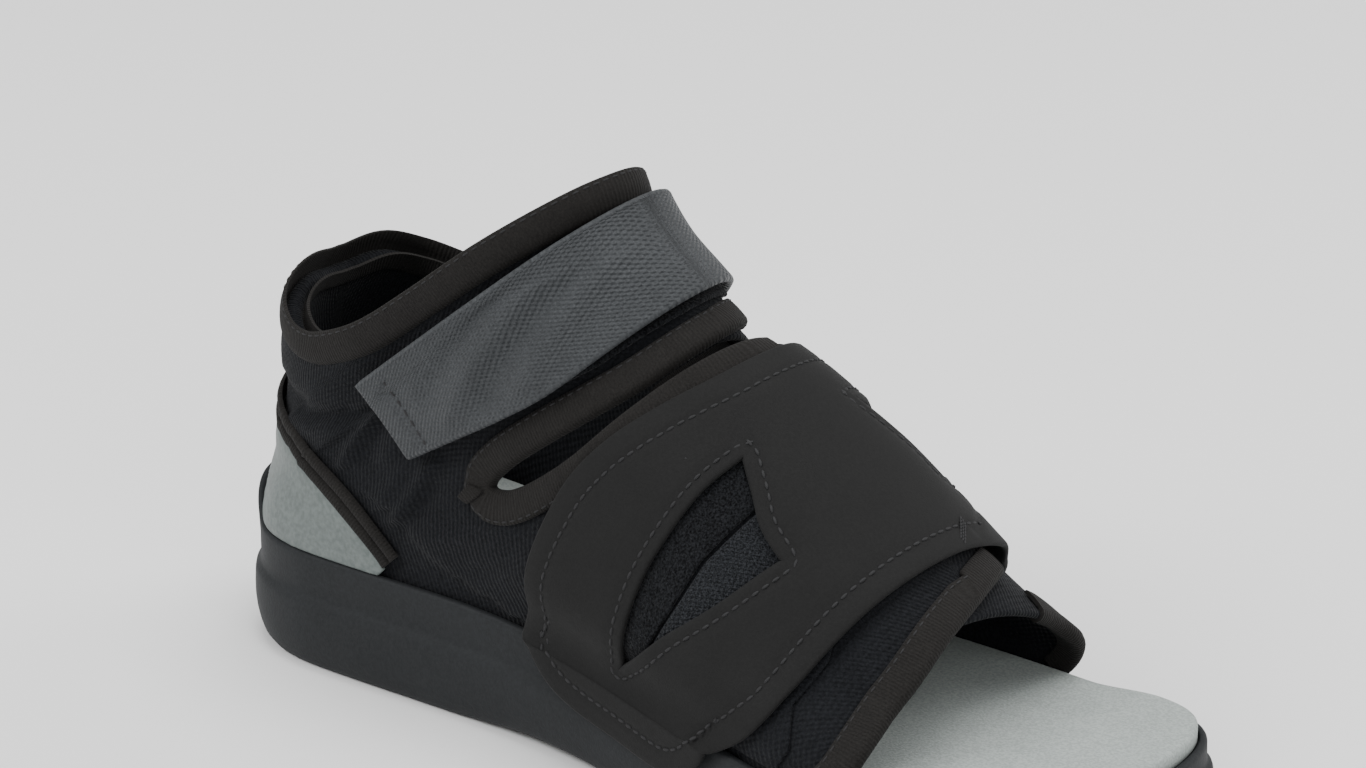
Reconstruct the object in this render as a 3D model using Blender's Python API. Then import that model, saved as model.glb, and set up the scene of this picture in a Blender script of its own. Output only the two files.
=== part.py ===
"""Post operative shoe for the right foot: moulded sole, insole, one hollow upper with wrap-over flaps,
heel counter, bindings, fastening pad and two straps.

Metres, +Z up, toe at +X, lateral side at -Y. The shoe stands on its sole at z = 0.
"""
import bpy
import bmesh
import numpy as np
from mathutils import Vector
from mathutils.geometry import delaunay_2d_cdt

# Driving sizes of the sole
LENGTH = 0.286
BALL_WIDTH = 0.108
HEEL_SEAT = 0.032
TOE_SEAT = 0.023
TOE_SPRING = 0.007
HEEL_BEVEL = 0.008
ARCH_RISE = 0.002
RIM_DEPTH = 0.0015
RIM_WIDTH = 0.004
HEEL_LIP = 0.0105
SIDE_STEP = 0.0014
GROOVE_DEPTH = 0.0025
GROOVE_WIDTH = 0.005
GROOVE_PITCH = 0.0165
GROOVE_MARGIN = 0.012

# Driving sizes of the last
INSTEP_HEIGHT = 0.102
COLLAR_HEIGHT = 0.142
ANKLE_WIDTH = 0.066
BACK_RISE = 0.080
WALL_RISE = 0.020

# Walls, tapes and clearances
WALL = 0.0022
COLLAR_PAD = 0.0030
GAP = 0.0003
RIM_GAP = 0.0006
LIP_GAP = 0.0013
INSOLE_GAP = 0.0019
COUNTER_GAP = 0.0009
LAYER_GAP = 0.0004
INSOLE_THICK = 0.005
COUNTER_THICK = 0.0013
BINDING_THICK = 0.0008
BINDING_WIDTH = 0.0072
COUNTER_BINDING_THICK = 0.0010
COUNTER_BINDING_WIDTH = 0.0075
PAD_THICK = 0.0016
ANKLE_STRAP_THICK = 0.0020
ANKLE_STRAP_GAP = 0.0018
FORE_STRAP_THICK = 0.0018
STRAP_DROP = 0.011

# The feather line lies where the wall just clears the sole's rim
FEATHER = RIM_WIDTH + RIM_GAP + WALL
# The forefoot strap lies over the bindings
STRAP_LIFT = 2 * LAYER_GAP + BINDING_THICK

# Spacing of the faces
W_STEP = 1 / 14
EDGE_STEP = 0.0062

# Half widths of the sole. Columns: share of the length, lateral and medial share of the ball width
HALF_WIDTHS = (
    (0.00, 0.372, 0.362),
    (0.17, 0.372, 0.360),
    (0.35, 0.350, 0.342),
    (0.49, 0.374, 0.362),
    (0.64, 0.448, 0.425),
    (0.77, 0.497, 0.475),
    (0.89, 0.487, 0.480),
    (1.00, 0.460, 0.468),
)
# Rounded ends. Columns: length as a share of the sole's length, power of the curve
END_POINTS = 12
HEEL_END = (0.150, 2.4)
TOE_END = (0.105, 3.2)

# Rings of the sole's side, bottom to top. Columns: inset in side steps, height share of the side
SIDE_RINGS = (
    (3.2, 0.00),
    (1.1, 0.10),
    (0.0, 0.34),
    (0.2, 0.58),
    (1.3, 0.64),
    (1.5, 0.90),
)

# Sections of the foot: place, crest along the length, crest height in instep heights,
# sideways shift and lateral and medial half widths in ball widths, height share of the widest point,
# powers of the curve over and under it
FOOT_ROWS = (
    (0.00, 0.986, 0.265, 0.046, 0.426, 0.407, 0.10, 2.10, 3.0),
    (0.12, 0.902, 0.397, 0.046, 0.435, 0.417, 0.10, 2.10, 3.0),
    (0.26, 0.790, 0.588, 0.046, 0.430, 0.407, 0.12, 2.10, 3.0),
    (0.40, 0.681, 0.828, 0.037, 0.398, 0.380, 0.15, 2.10, 3.0),
    (0.54, 0.587, 1.000, 0.028, 0.352, 0.343, 0.20, 2.05, 3.0),
)
# Sections of the ankle: the same columns, with heights in collar heights and widths in ankle widths
ANKLE_ROWS = (
    (0.68, 0.521, 0.775, 0.030, 0.523, 0.515, 0.26, 2.05, 2.4),
    (0.82, 0.472, 0.842, 0.030, 0.508, 0.500, 0.32, 2.05, 2.2),
    (0.92, 0.444, 0.891, 0.015, 0.500, 0.492, 0.36, 2.05, 2.1),
    (1.00, 0.423, 0.933, 0.015, 0.500, 0.492, 0.38, 2.05, 2.0),
    (1.25, 0.402, 1.000, 0.000, 0.500, 0.492, 0.42, 2.05, 2.0),
    (1.50, 0.385, 1.063, 0.000, 0.500, 0.492, 0.44, 2.05, 2.0),
    (1.75, 0.371, 1.134, 0.000, 0.500, 0.492, 0.46, 2.05, 2.0),
    (2.00, 0.360, 1.211, 0.000, 0.500, 0.492, 0.48, 2.05, 2.0),
)
# Back of the heel: place past 1, lean forward and rise, both in back rises
BACK_ROWS = (
    (0.00, 0.000, 0.000),
    (0.10, 0.000, 0.080),
    (0.25, 0.000, 0.200),
    (0.50, 0.044, 0.450),
    (0.75, 0.100, 0.720),
    (1.00, 0.250, 0.970),
    (1.25, 0.420, 1.200),
)

# Edges on the last as (u, w): u runs from the toe to the heel and on up the leg,
# w is 0 on the crest and 1 at the sole or the back seam. Each is for one side and is mirrored for the other.
COLLAR_EDGE = (
    (1.83, 1.00),
    (1.81, 0.90),
    (1.68, 0.80),
    (1.50, 0.69),
    (1.36, 0.58),
    (1.27, 0.47),
    (1.24, 0.34),
    (1.23, 0.20),
    (1.19, 0.06),
    (1.17, 0.00),
)
SLOT_EDGE = (
    (0.675, 0.00),
    (0.668, 0.10),
    (0.670, 0.20),
    (0.685, 0.30),
    (0.702, 0.40),
    (0.715, 0.50),
    (0.712, 0.58),
    (0.690, 0.61),
    (0.664, 0.59),
    (0.645, 0.52),
    (0.632, 0.42),
    (0.627, 0.28),
    (0.622, 0.14),
    (0.612, 0.00),
)
LATERAL_FRONT = (
    (0.262, 0.20),
    (0.250, 0.04),
    (0.230, -0.17),
    (0.203, -0.38),
    (0.185, -0.53),
    (0.163, -0.68),
    (0.138, -0.84),
    (0.120, -1.00),
)
MEDIAL_FRONT = (
    (0.240, -0.18),
    (0.230, 0.06),
    (0.212, 0.28),
    (0.192, 0.46),
    (0.165, 0.62),
    (0.140, 0.80),
    (0.120, 1.00),
)
# Front edge of the counter from the side. Columns: share of the length, height over the seat in back rises
COUNTER_EDGE = (
    (0.247, -0.02),
    (0.223, 0.08),
    (0.192, 0.17),
    (0.160, 0.24),
    (0.120, 0.31),
    (0.075, 0.38),
    (0.032, 0.43),
)
COUNTER_TOP = 0.45
STRAP_REAR = (
    (0.575, 0.90),
    (0.590, 0.60),
    (0.578, 0.30),
    (0.568, 0.05),
    (0.572, -0.10),
    (0.590, -0.22),
    (0.606, -0.34),
    (0.607, -0.46),
    (0.592, -0.58),
    (0.565, -0.73),
    (0.535, -0.85),
    (0.508, -0.98),
)
STRAP_END = (
    (0.480, -1.07),
    (0.440, -1.11),
    (0.380, -1.12),
    (0.300, -1.12),
)
STRAP_FRONT = (
    (0.255, -1.04),
    (0.245, -0.92),
    (0.243, -0.78),
    (0.255, -0.64),
    (0.270, -0.48),
    (0.283, -0.30),
    (0.290, -0.12),
    (0.290, 0.06),
    (0.282, 0.26),
    (0.272, 0.45),
    (0.262, 0.68),
    (0.255, 0.90),
)
WINDOW = (
    (0.470, -0.215),
    (0.430, -0.27),
    (0.398, -0.32),
    (0.360, -0.355),
    (0.366, -0.56),
    (0.380, -0.73),
    (0.398, -0.885),
    (0.430, -0.71),
    (0.450, -0.58),
    (0.462, -0.45),
    (0.470, -0.33),
)
# The medial window is the mirror of the lateral one, moved towards the crest by this share
WINDOW_SHIFT = 0.12
ANKLE_STRAP_TOP = (
    (1.10, -0.49),
    (1.10, -0.36),
    (1.10, -0.22),
    (1.11, -0.08),
    (1.11, 0.08),
    (1.08, 0.30),
    (1.10, 0.52),
)
ANKLE_STRAP_LOW = (
    (0.84, 0.58),
    (0.80, 0.36),
    (0.785, 0.12),
    (0.765, -0.04),
    (0.755, -0.18),
    (0.755, -0.30),
    (0.775, -0.40),
    (0.800, -0.49),
    (0.825, -0.575),
)
PAD_EDGE = (
    (0.920, -0.50),
    (0.900, -0.30),
    (0.890, -0.10),
    (0.890, 0.10),
    (0.765, 0.10),
    (0.750, -0.05),
    (0.750, -0.20),
    (0.770, -0.32),
    (0.790, -0.42),
    (0.805, -0.51),
)

# How far the flaps pass over the crest, as w
LATERAL_REACH = 0.25
MEDIAL_REACH = 0.20
ANKLE_REACH = 0.13
FLAP_TUCK = (0.30, 0.45)


def natural_spline(rows):
    """Cubic through the rows of a table, each row a place and its values."""
    table = np.array(rows, float)
    place, value = table[:, 0], table[:, 1:]
    count = len(place)
    step = np.diff(place)
    system = np.eye(count)
    right = np.zeros_like(value)
    for i in range(1, count - 1):
        system[i, i - 1:i + 2] = step[i - 1], 2 * (step[i - 1] + step[i]), step[i]
        right[i] = 6 * ((value[i + 1] - value[i]) / step[i] - (value[i] - value[i - 1]) / step[i - 1])
    bend = np.linalg.solve(system, right)

    def at(x):
        x = np.asarray(x, float)
        i = np.clip(np.searchsorted(place, x) - 1, 0, count - 2)
        h = step[i][..., None]
        a = (place[i + 1] - x)[..., None] / h
        b = 1 - a
        curve = ((a ** 3 - a) * bend[i] + (b ** 3 - b) * bend[i + 1]) * h * h / 6
        return a * value[i] + b * value[i + 1] + curve

    return at


def smooth(x, low, high):
    """Soft step from 0 at low to 1 at high."""
    t = np.clip((np.asarray(x, float) - low) / (high - low), 0.0, 1.0)
    return t * t * (3 - 2 * t)


def through(points, count=8):
    """Rounded curve through hand-chosen points, ends kept."""
    p = np.array(points, float)
    p = np.vstack([2 * p[0] - p[1], p, 2 * p[-1] - p[-2]])
    curve = []
    for a, b, c, d in zip(p, p[1:], p[2:], p[3:]):
        t = np.linspace(0, 1, count, endpoint=False)[:, None]
        curve.append(0.5 * (2 * b + (c - a) * t + (2 * a - 5 * b + 4 * c - d) * t ** 2
                            + (3 * b - a - 3 * c + d) * t ** 3))
    return np.vstack(curve + [p[-2:-1]])


# Heights of the sole along the shoe


def bottom_height(x):
    heel = HEEL_BEVEL * (1 - smooth(x, -0.10 * LENGTH, 0.11 * LENGTH)) ** 1.5
    toe = TOE_SPRING * np.clip((np.asarray(x) / LENGTH - 0.70) / 0.30, 0, 1) ** 2
    arch = ARCH_RISE * smooth(x, 0.30 * LENGTH, 0.42 * LENGTH) * (1 - smooth(x, 0.46 * LENGTH, 0.60 * LENGTH))
    return heel + toe + arch


def seat_height(x):
    return HEEL_SEAT + (TOE_SEAT - HEEL_SEAT) * smooth(x, 0.30 * LENGTH, 0.85 * LENGTH)


def side_height(x):
    return seat_height(x) + RIM_DEPTH


def rim_height(x):
    return side_height(x) + HEEL_LIP * (1 - smooth(x, 0.002 * LENGTH, 0.062 * LENGTH))


# Outline of the sole, a lateral and a medial half with the same stations from toe to heel


def rounded_end(end, power, width):
    """Quarter of a rounded end, as shares of the length and of the width, with points evenly apart."""
    turn = np.linspace(0, np.pi / 2, 400)
    curve = np.stack([end * (1 - np.cos(turn) ** (2 / power)), np.sin(turn) ** (2 / power)], 1)
    size = np.diff(curve * (LENGTH, width * BALL_WIDTH), axis=0)
    run = np.concatenate([[0], np.cumsum(np.linalg.norm(size, axis=1))])
    goal = np.linspace(0, run[-1], END_POINTS)
    return np.stack([np.interp(goal, run, curve[:, k]) for k in (0, 1)], 1)


def outline_halves():
    widths = natural_spline(HALF_WIDTHS)
    heel = rounded_end(*HEEL_END, HALF_WIDTHS[0][1])
    toe = rounded_end(*TOE_END, HALF_WIDTHS[-1][1])[::-1]
    toe[:, 0] = 1 - toe[:, 0]
    middle = np.linspace(heel[-1, 0], toe[0, 0], 21)[1:-1]
    middle = np.stack([middle, np.ones_like(middle)], 1)
    stations = np.vstack([heel, middle, toe])[::-1]
    share = widths(stations[:, 0]) * stations[:, 1:]
    x = stations[:, 0] * LENGTH
    lateral = np.stack([x, -share[:, 0] * BALL_WIDTH], 1)
    medial = np.stack([x, share[:, 1] * BALL_WIDTH], 1)
    return lateral, medial


def outline_ring():
    """Closed outline: down the lateral side from the toe, then back up the medial side."""
    lateral, medial = outline_halves()
    return np.vstack([lateral, medial[-2:0:-1]])


def inset_ring(ring, inset):
    """Outline moved inwards by an amount for each point."""
    along = np.roll(ring, -1, 0) - np.roll(ring, 1, 0)
    along /= np.linalg.norm(along, axis=1)[:, None]
    inward = np.stack([along[:, 1], -along[:, 0]], 1)
    if ((ring.mean(0) - ring) * inward).sum() < 0:
        inward = -inward
    return ring + inward * np.broadcast_to(inset, len(ring))[:, None]


# The last: sections from the toe round the instep to the ankle, as a grid of points and normals

OUTLINE = outline_ring()
HALF = len(OUTLINE) // 2 + 1


def feather_half(side):
    ring = inset_ring(OUTLINE, FEATHER)
    half = ring[:HALF] if side < 0 else np.vstack([ring[:1], ring[:HALF - 2:-1]])
    keep = half[:, 0] <= 0.91 * LENGTH
    half = np.abs(half[keep])
    half[-1, 1] = 0
    return half


def feather_point(side, u):
    """Place on the feather line, by its length from the toe end at u = 0 to the heel at u = 1."""
    half = FEATHER_LINE[side]
    run = np.concatenate([[0], np.cumsum(np.linalg.norm(np.diff(half, axis=0), axis=1))])
    return [np.interp(u * run[-1], run, half[:, k]) for k in (0, 1)]


def feather_width(side, x):
    half = FEATHER_LINE[side][::-1]
    return np.interp(x, half[:, 0], half[:, 1])


def last_rows():
    rows = []
    for u, x, z, shift, outer, inner, wide, over, under in FOOT_ROWS:
        rows.append((u, x * LENGTH, z * INSTEP_HEIGHT, shift * BALL_WIDTH,
                     outer * BALL_WIDTH, inner * BALL_WIDTH, wide, over, under))
    for u, x, z, shift, outer, inner, wide, over, under in ANKLE_ROWS:
        rows.append((u, x * LENGTH, z * COLLAR_HEIGHT, shift * ANKLE_WIDTH,
                     outer * ANKLE_WIDTH, inner * ANKLE_WIDTH, wide, over, under))
    return rows


SECTION = natural_spline(last_rows())
BACK = natural_spline(BACK_ROWS)
FEATHER_LINE = {-1: feather_half(-1), 1: feather_half(1)}
U_GRID = np.linspace(0, 2, 101)
W_GRID = np.linspace(-1, 1, 145)


def half_section(u, side, w):
    """Half of one section, from the crest at w = 0 to the sole or back seam at w = 1."""
    crest_x, crest_z, shift, outer, inner, wide, over, under = SECTION(u)
    width = outer if side < 0 else inner
    if u <= 1:
        base_x, base_y = feather_point(side, u)
        base_z = seat_height(base_x) + GAP
    else:
        lean, rise = BACK(u - 1) * BACK_RISE
        base_x, base_y, base_z = FEATHER + lean, 0.0, HEEL_SEAT + GAP + rise
    width = max(width, base_y)
    tuck = 1 - (base_y / width) ** under
    turn = np.linspace(0, np.pi / 2, 90)
    up = wide + (1 - wide) * np.cos(turn) ** (2 / over)
    out = width * np.sin(turn) ** (2 / over)
    low = np.sin(turn[1:])
    up = np.concatenate([up, wide * (1 - low)])
    out = np.concatenate([out, width * (1 - tuck * low ** under) ** (1 / under)])
    x = base_x + (crest_x - base_x) * up
    z = base_z + (crest_z - base_z) * up
    # the wall stands straight up from the feather line until it is past the rim
    over_rim = z - rim_height(x)
    bulge = smooth(over_rim, 0.001, WALL_RISE)
    out = out * bulge + feather_width(side, x) * (1 - bulge)
    points = np.stack([x, side * out + shift * up * bulge, z], 1)
    run = np.concatenate([[0], np.cumsum(np.linalg.norm(np.diff(points, axis=0), axis=1))])
    return np.stack([np.interp(w * run[-1], run, points[:, k]) for k in range(3)], 1)


def last_grid():
    half = W_GRID[W_GRID >= 0]
    grid = []
    for u in U_GRID:
        lateral = half_section(u, -1, half)
        medial = half_section(u, 1, half)
        grid.append(np.vstack([lateral[::-1], medial[1:]]))
    grid = np.array(grid)
    normal = np.cross(np.gradient(grid, axis=0), np.gradient(grid, axis=1))
    outward = grid - np.array([0.5 * LENGTH, 0, 0.5 * INSTEP_HEIGHT])
    if (outward * normal).sum() < 0:
        normal = -normal
    # the sections crowd together at the heel, so the normals are averaged over their neighbours
    for _ in range(4):
        wide = np.pad(normal, ((1, 1), (1, 1), (0, 0)), "edge")
        normal = (normal + wide[2:, 1:-1] + wide[:-2, 1:-1] + wide[1:-1, 2:] + wide[1:-1, :-2]) / 5
    normal /= np.maximum(np.linalg.norm(normal, axis=2), 1e-12)[..., None]
    # along the sole the wall stands level, and on the back seam it has no sideways part
    for side, column in ((-1, 0), (1, -1)):
        base = grid[U_GRID <= 1, column]
        along = np.gradient(base, axis=0)
        level = np.stack([along[:, 1], -along[:, 0], 0 * along[:, 0]], 1) * side
        level /= np.linalg.norm(level, axis=1)[:, None]
        level[-1] = -1, 0, 0
        seam = normal[U_GRID > 1, column] * (1, 0, 1)
        end = np.vstack([level, seam])[:, None]
        share = smooth(side * W_GRID, 0.72, 1.0)[None, :, None]
        normal = normal * (1 - share) + end * share
    normal /= np.maximum(np.linalg.norm(normal, axis=2), 1e-12)[..., None]
    return grid, normal


GRID, NORMAL = last_grid()


def sample(field, u, w):
    """Field of the grid between its points."""
    i = np.clip(np.asarray(u, float) / (U_GRID[1] - U_GRID[0]), 0, len(U_GRID) - 1.000001)
    j = np.clip((np.asarray(w, float) + 1) / (W_GRID[1] - W_GRID[0]), 0, len(W_GRID) - 1.000001)
    i0, j0 = i.astype(int), j.astype(int)
    a, b = (i - i0)[..., None], (j - j0)[..., None]
    near = field[i0, j0] * (1 - b) + field[i0, j0 + 1] * b
    far = field[i0 + 1, j0] * (1 - b) + field[i0 + 1, j0 + 1] * b
    return near * (1 - a) + far * a


def on_last(u, w, lift):
    """Point a given height over the last."""
    return sample(GRID, u, w) + sample(NORMAL, u, w) * np.asarray(lift)[..., None]


# Layers over the last


def collar_swell(u, w):
    """Extra thickness of the padded collar, whose lower crease rises towards the back seam."""
    w = np.abs(w)
    crease = 1.05 + 0.45 * smooth(w, 0.60, 0.95)
    return COLLAR_PAD * smooth(u, crease, crease + 0.25) * smooth(w, 0.34, 0.55)


def lap(w):
    """Lift of the lateral flaps where they cross the medial ones."""
    w = np.asarray(w, float)
    return (WALL + LAYER_GAP) * smooth(w, -0.62, -0.24) * (1 - smooth(w, *FLAP_TUCK))


def lateral_inner(u, w):
    return lap(w)


def lateral_outer(u, w):
    return lap(w) + WALL + collar_swell(u, w)


def medial_inner(u, w):
    return np.zeros_like(u)


def medial_outer(u, w):
    return WALL + collar_swell(u, w)


def layer(lift, thick):
    """Inner and outer heights of a layer that lies over the upper."""
    return (lambda u, w: lateral_outer(u, w) + lift), (lambda u, w: lateral_outer(u, w) + lift + thick)


def rim_crossing(u, side, lift):
    """w where the surface at this lift clears the sole's rim."""
    w = np.linspace(0.5, 1.0, 401)
    point = on_last(np.full_like(w, u), side * w, np.full_like(w, lift))
    clear = point[:, 2] > rim_height(point[:, 0]) + LIP_GAP
    return side * w[clear].max() if clear.any() else side * 0.5


def strap_place(u, w, lift):
    """Point of the forefoot strap: over the upper, then over the rim and down the sole's side."""
    u, w = np.asarray(u, float), np.asarray(w, float)
    over = on_last(u, np.clip(w, -1, 1), lift)
    foot = sample(GRID, u, np.full_like(w, -1.0))
    outward = sample(NORMAL, u, np.full_like(w, -1.0))
    side = foot + outward * (FEATHER + LAYER_GAP + lift - STRAP_LIFT - WALL)[..., None]
    side[..., 2] = rim_height(foot[..., 0]) - np.clip(-1 - w, 0, 1) * STRAP_DROP / 0.11
    share = smooth(-w, 0.84, 1.0)[..., None]
    return over * (1 - share) + side * share


# Solids from patches of the last


def by_length(curve, step, place=on_last):
    """Curve in (u, w) with points about one step apart on the shoe."""
    point = place(curve[:, 0], curve[:, 1], np.zeros(len(curve)))
    run = np.concatenate([[0], np.cumsum(np.linalg.norm(np.diff(point, axis=0), axis=1))])
    count = max(2, int(round(run[-1] / step)) + 1)
    goal = np.linspace(0, run[-1], count)
    return np.stack([np.interp(goal, run, curve[:, k]) for k in (0, 1)], 1)


def edge(points, step=None):
    return by_length(through(points), step or EDGE_STEP)


# Rows of faces across the shoe, closest round the heel. Columns: first u, step
U_ROWS = ((0.00, 0.04), (0.76, 0.02), (1.00, 0.10), (2.00, 0.10))
STATIONS = np.concatenate([np.arange(a, b - 0.5 * step, step) for (a, step), (b, _) in zip(U_ROWS, U_ROWS[1:])])
LEVELS = np.arange(-1.3, 1.01, W_STEP)
LATTICE = np.stack(np.meshgrid(STATIONS, LEVELS, indexing="ij"), -1).reshape(-1, 2)


def unrolled(point):
    """Points of (u, w) in rows and levels, so that the lattice is square."""
    point = np.asarray(point)
    row = np.interp(point[:, 0], STATIONS, np.arange(len(STATIONS)))
    return np.stack([row, point[:, 1] / W_STEP], 1)


def straight_run(low, high, w):
    """Points along u at a fixed w, on the stations that every layer shares."""
    inside = STATIONS[(STATIONS > low + 0.004) & (STATIONS < high - 0.004)]
    u = np.concatenate([[low], inside, [high]])
    return np.stack([u, np.full_like(u, w)], 1)


def inside_polygon(point, polygon):
    x, y = point[:, None, 0], point[:, None, 1]
    a, b = polygon, np.roll(polygon, -1, 0)
    cross = (a[None, :, 1] > y) != (b[None, :, 1] > y)
    reach = (b[:, 0] - a[:, 0]) * (y - a[:, 1]) / np.where(b[:, 1] == a[:, 1], 1e-12, b[:, 1] - a[:, 1]) + a[:, 0]
    return (cross & (x < reach)).sum(1) % 2 == 1


def polygon_distance(point, polygon):
    a, b = polygon[None], np.roll(polygon, -1, 0)[None]
    run = b - a
    t = np.clip(((point[:, None] - a) * run).sum(2) / np.maximum((run * run).sum(2), 1e-18), 0, 1)
    return np.linalg.norm(point[:, None] - a - run * t[..., None], axis=2).min(1)


# Least distance of an inner point from an edge, and least area of a face, in squares of the lattice
CLOSEST = 0.35
SLIVER = 1e-3


def triangulate(loops):
    """Triangles of a region in (u, w): an outer loop and any holes."""
    loops = [np.array(loop) for loop in loops]
    flat_loops = [unrolled(loop) for loop in loops]
    keep = inside_polygon(LATTICE, loops[0])
    for loop in loops[1:]:
        keep &= ~inside_polygon(LATTICE, loop)
    inner = unrolled(LATTICE[keep])
    near = np.min([polygon_distance(inner, loop) for loop in flat_loops], axis=0)
    points = np.vstack(flat_loops + [inner[near > CLOSEST]])
    source = np.vstack(loops + [LATTICE[keep][near > CLOSEST]])
    links = []
    start = 0
    for loop in loops:
        n = len(loop)
        links += [(start + i, start + (i + 1) % n) for i in range(n)]
        start += n
    made = delaunay_2d_cdt([Vector(p) for p in points], links, [], 0, 1e-7)
    faces, first = made[2], [names[0] for names in made[3]]
    faces = np.array([[first[i] for i in face] for face in faces])
    corners = points[faces]
    middle = corners.mean(1)
    keep = inside_polygon(middle, flat_loops[0])
    for loop in flat_loops[1:]:
        keep &= ~inside_polygon(middle, loop)
    sides = corners[:, 1:] - corners[:, :1]
    keep &= np.abs(np.cross(sides[:, 0], sides[:, 1])) > SLIVER
    return source, [tuple(int(i) for i in face) for face in faces[keep]]


class Sheet:
    """Patches joined to one sheet, made solid between an inner and an outer height."""

    def __init__(self):
        self.inner, self.outer, self.faces, self.key = [], [], [], {}

    def add(self, flat, faces, inner, outer, place=on_last):
        u, w = flat[:, 0], flat[:, 1]
        low = place(u, w, inner(u, w))
        high = place(u, w, outer(u, w))
        used = sorted({i for face in faces for i in face})
        index = {}
        for i in used:
            seam = abs(w[i]) > 0.99999 and u[i] > 0.99999
            key = ("seam", round(u[i], 5)) if seam else ("point", len(self.inner))
            if key not in self.key:
                self.key[key] = len(self.inner)
                self.inner.append(low[i])
                self.outer.append(high[i])
            index[i] = self.key[key]
        self.faces += [tuple(index[i] for i in face) for face in faces]

    def solid(self, name):
        count = len(self.inner)
        faces = list(self.faces) + [tuple(count + i for i in face) for face in self.faces]
        uses = {}
        for face in self.faces:
            for a, b in zip(face, face[1:] + face[:1]):
                uses[min(a, b), max(a, b)] = uses.get((min(a, b), max(a, b)), 0) + 1
        faces += [(a, b, count + b, count + a) for (a, b), times in uses.items() if times == 1]
        return make_object(name, np.vstack([self.outer, self.inner]), faces)


def closest(target, side, axes=(0, 1, 2)):
    """Place (u, w) on one side of the last whose point lies closest to a target, along the given axes."""
    axes = list(axes)
    columns = np.flatnonzero(W_GRID * side >= 0)
    gap = np.linalg.norm(GRID[:, columns][..., axes] - target, axis=2)
    row, column = np.unravel_index(np.argmin(gap), gap.shape)
    u, w = U_GRID[row], W_GRID[columns[column]]
    reach_u, reach_w = U_GRID[1] - U_GRID[0], W_GRID[1] - W_GRID[0]
    for _ in range(6):
        near_u = np.clip(u + reach_u * np.linspace(-1, 1, 5), 0, 2)
        near_w = side * np.clip(side * w + reach_w * np.linspace(-1, 1, 5), 0, 1)
        tries_u, tries_w = (part.ravel() for part in np.meshgrid(near_u, near_w))
        gap = np.linalg.norm(sample(GRID, tries_u, tries_w)[:, axes] - target, axis=1)
        u, w = tries_u[np.argmin(gap)], tries_w[np.argmin(gap)]
        reach_u, reach_w = 0.5 * reach_u, 0.5 * reach_w
    return u, w


def inward_step(curve, width, turn):
    """The curve moved across the surface by a width, to the side given by turn."""
    point = on_last(curve[:, 0], curve[:, 1], np.zeros(len(curve)))
    across = np.cross(sample(NORMAL, curve[:, 0], curve[:, 1]), np.gradient(point, axis=0)) * turn
    across /= np.linalg.norm(across, axis=1)[:, None]
    sides = np.where(curve[:, 1] < 0, -1, 1)
    goal = point + across * width
    sides = np.where(np.abs(curve[:, 1]) < 0.3, np.where(goal[:, 1] < 0, -1, 1), sides)
    return np.array([closest(p, side) for p, side in zip(goal, sides)])


def tape(name, curve, width, turn, inner, outer, profile=((0, 1), (0.5, 1), (1, 1))):
    """Tape laid along a curve. The profile gives shares of the width and of the thickness."""
    rows = [inward_step(curve, max(width * share, 1e-9), turn) if share else curve for share, _ in profile]
    rings = []
    for (share, height), row in zip(profile, rows):
        low, high = inner(row[:, 0], row[:, 1]), outer(row[:, 0], row[:, 1])
        rings.append(on_last(row[:, 0], row[:, 1], low + (high - low) * height))
    for row in reversed(rows):
        rings.append(on_last(row[:, 0], row[:, 1], inner(row[:, 0], row[:, 1])))
    return loft(name, np.stack(rings, 1))


def loft(name, rings):
    """Solid through closed sections of the same number of points, capped at both ends."""
    count, size = rings.shape[:2]
    faces = [tuple(range(size)), tuple((count - 1) * size + k for k in reversed(range(size)))]
    for i in range(count - 1):
        for k in range(size):
            a, b = i * size + k, i * size + (k + 1) % size
            faces.append((b, a, a + size, b + size))
    return make_object(name, rings.reshape(-1, 3), faces)


# Blender objects

PARTS = "post_operative_shoe"
CUTTERS = "cutters"
FINISHES = {
    "sole": ((0.032, 0.034, 0.036), 0.62),
    "insole": ((0.30, 0.33, 0.31), 0.85),
    "upper": ((0.014, 0.015, 0.017), 0.90),
    "counter": ((0.17, 0.20, 0.185), 0.55),
    "binding": ((0.030, 0.026, 0.023), 0.80),
    "pad": ((0.020, 0.021, 0.023), 0.95),
    "webbing": ((0.048, 0.054, 0.058), 0.60),
    "strap": ((0.016, 0.017, 0.017), 0.75),
}


def finish(name):
    material = bpy.data.materials.get(name)
    if material is None:
        color, rough = FINISHES[name]
        material = bpy.data.materials.new(name)
        material.use_nodes = True
        shader = material.node_tree.nodes["Principled BSDF"]
        shader.inputs["Base Color"].default_value = (*color, 1)
        shader.inputs["Roughness"].default_value = rough
        shader.inputs["Metallic"].default_value = 0.0
    return material


def shift_to_origin():
    """The origin is under the middle of the box, which the strap widens on the lateral side."""
    strap = LAYER_GAP + FORE_STRAP_THICK
    lateral, medial = OUTLINE[:, 1].min() - strap, OUTLINE[:, 1].max()
    return np.array([-0.5 * LENGTH, -0.5 * (lateral + medial), 0])


SHIFT = shift_to_origin()


def make_object(name, points, faces):
    mesh = bpy.data.meshes.new(name)
    mesh.from_pydata([tuple(p) for p in np.asarray(points) + SHIFT], [], [tuple(map(int, f)) for f in faces])
    shell = bmesh.new()
    shell.from_mesh(mesh)
    bmesh.ops.remove_doubles(shell, verts=shell.verts, dist=1e-6)
    bmesh.ops.triangulate(shell, faces=shell.faces)
    bmesh.ops.recalc_face_normals(shell, faces=shell.faces)
    shell.to_mesh(mesh)
    shell.free()
    mesh.shade_smooth()
    mesh.set_sharp_from_angle(angle=np.radians(40))
    made = bpy.data.objects.new(name, mesh)
    bpy.data.collections[PARTS].objects.link(made)
    return made


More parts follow.
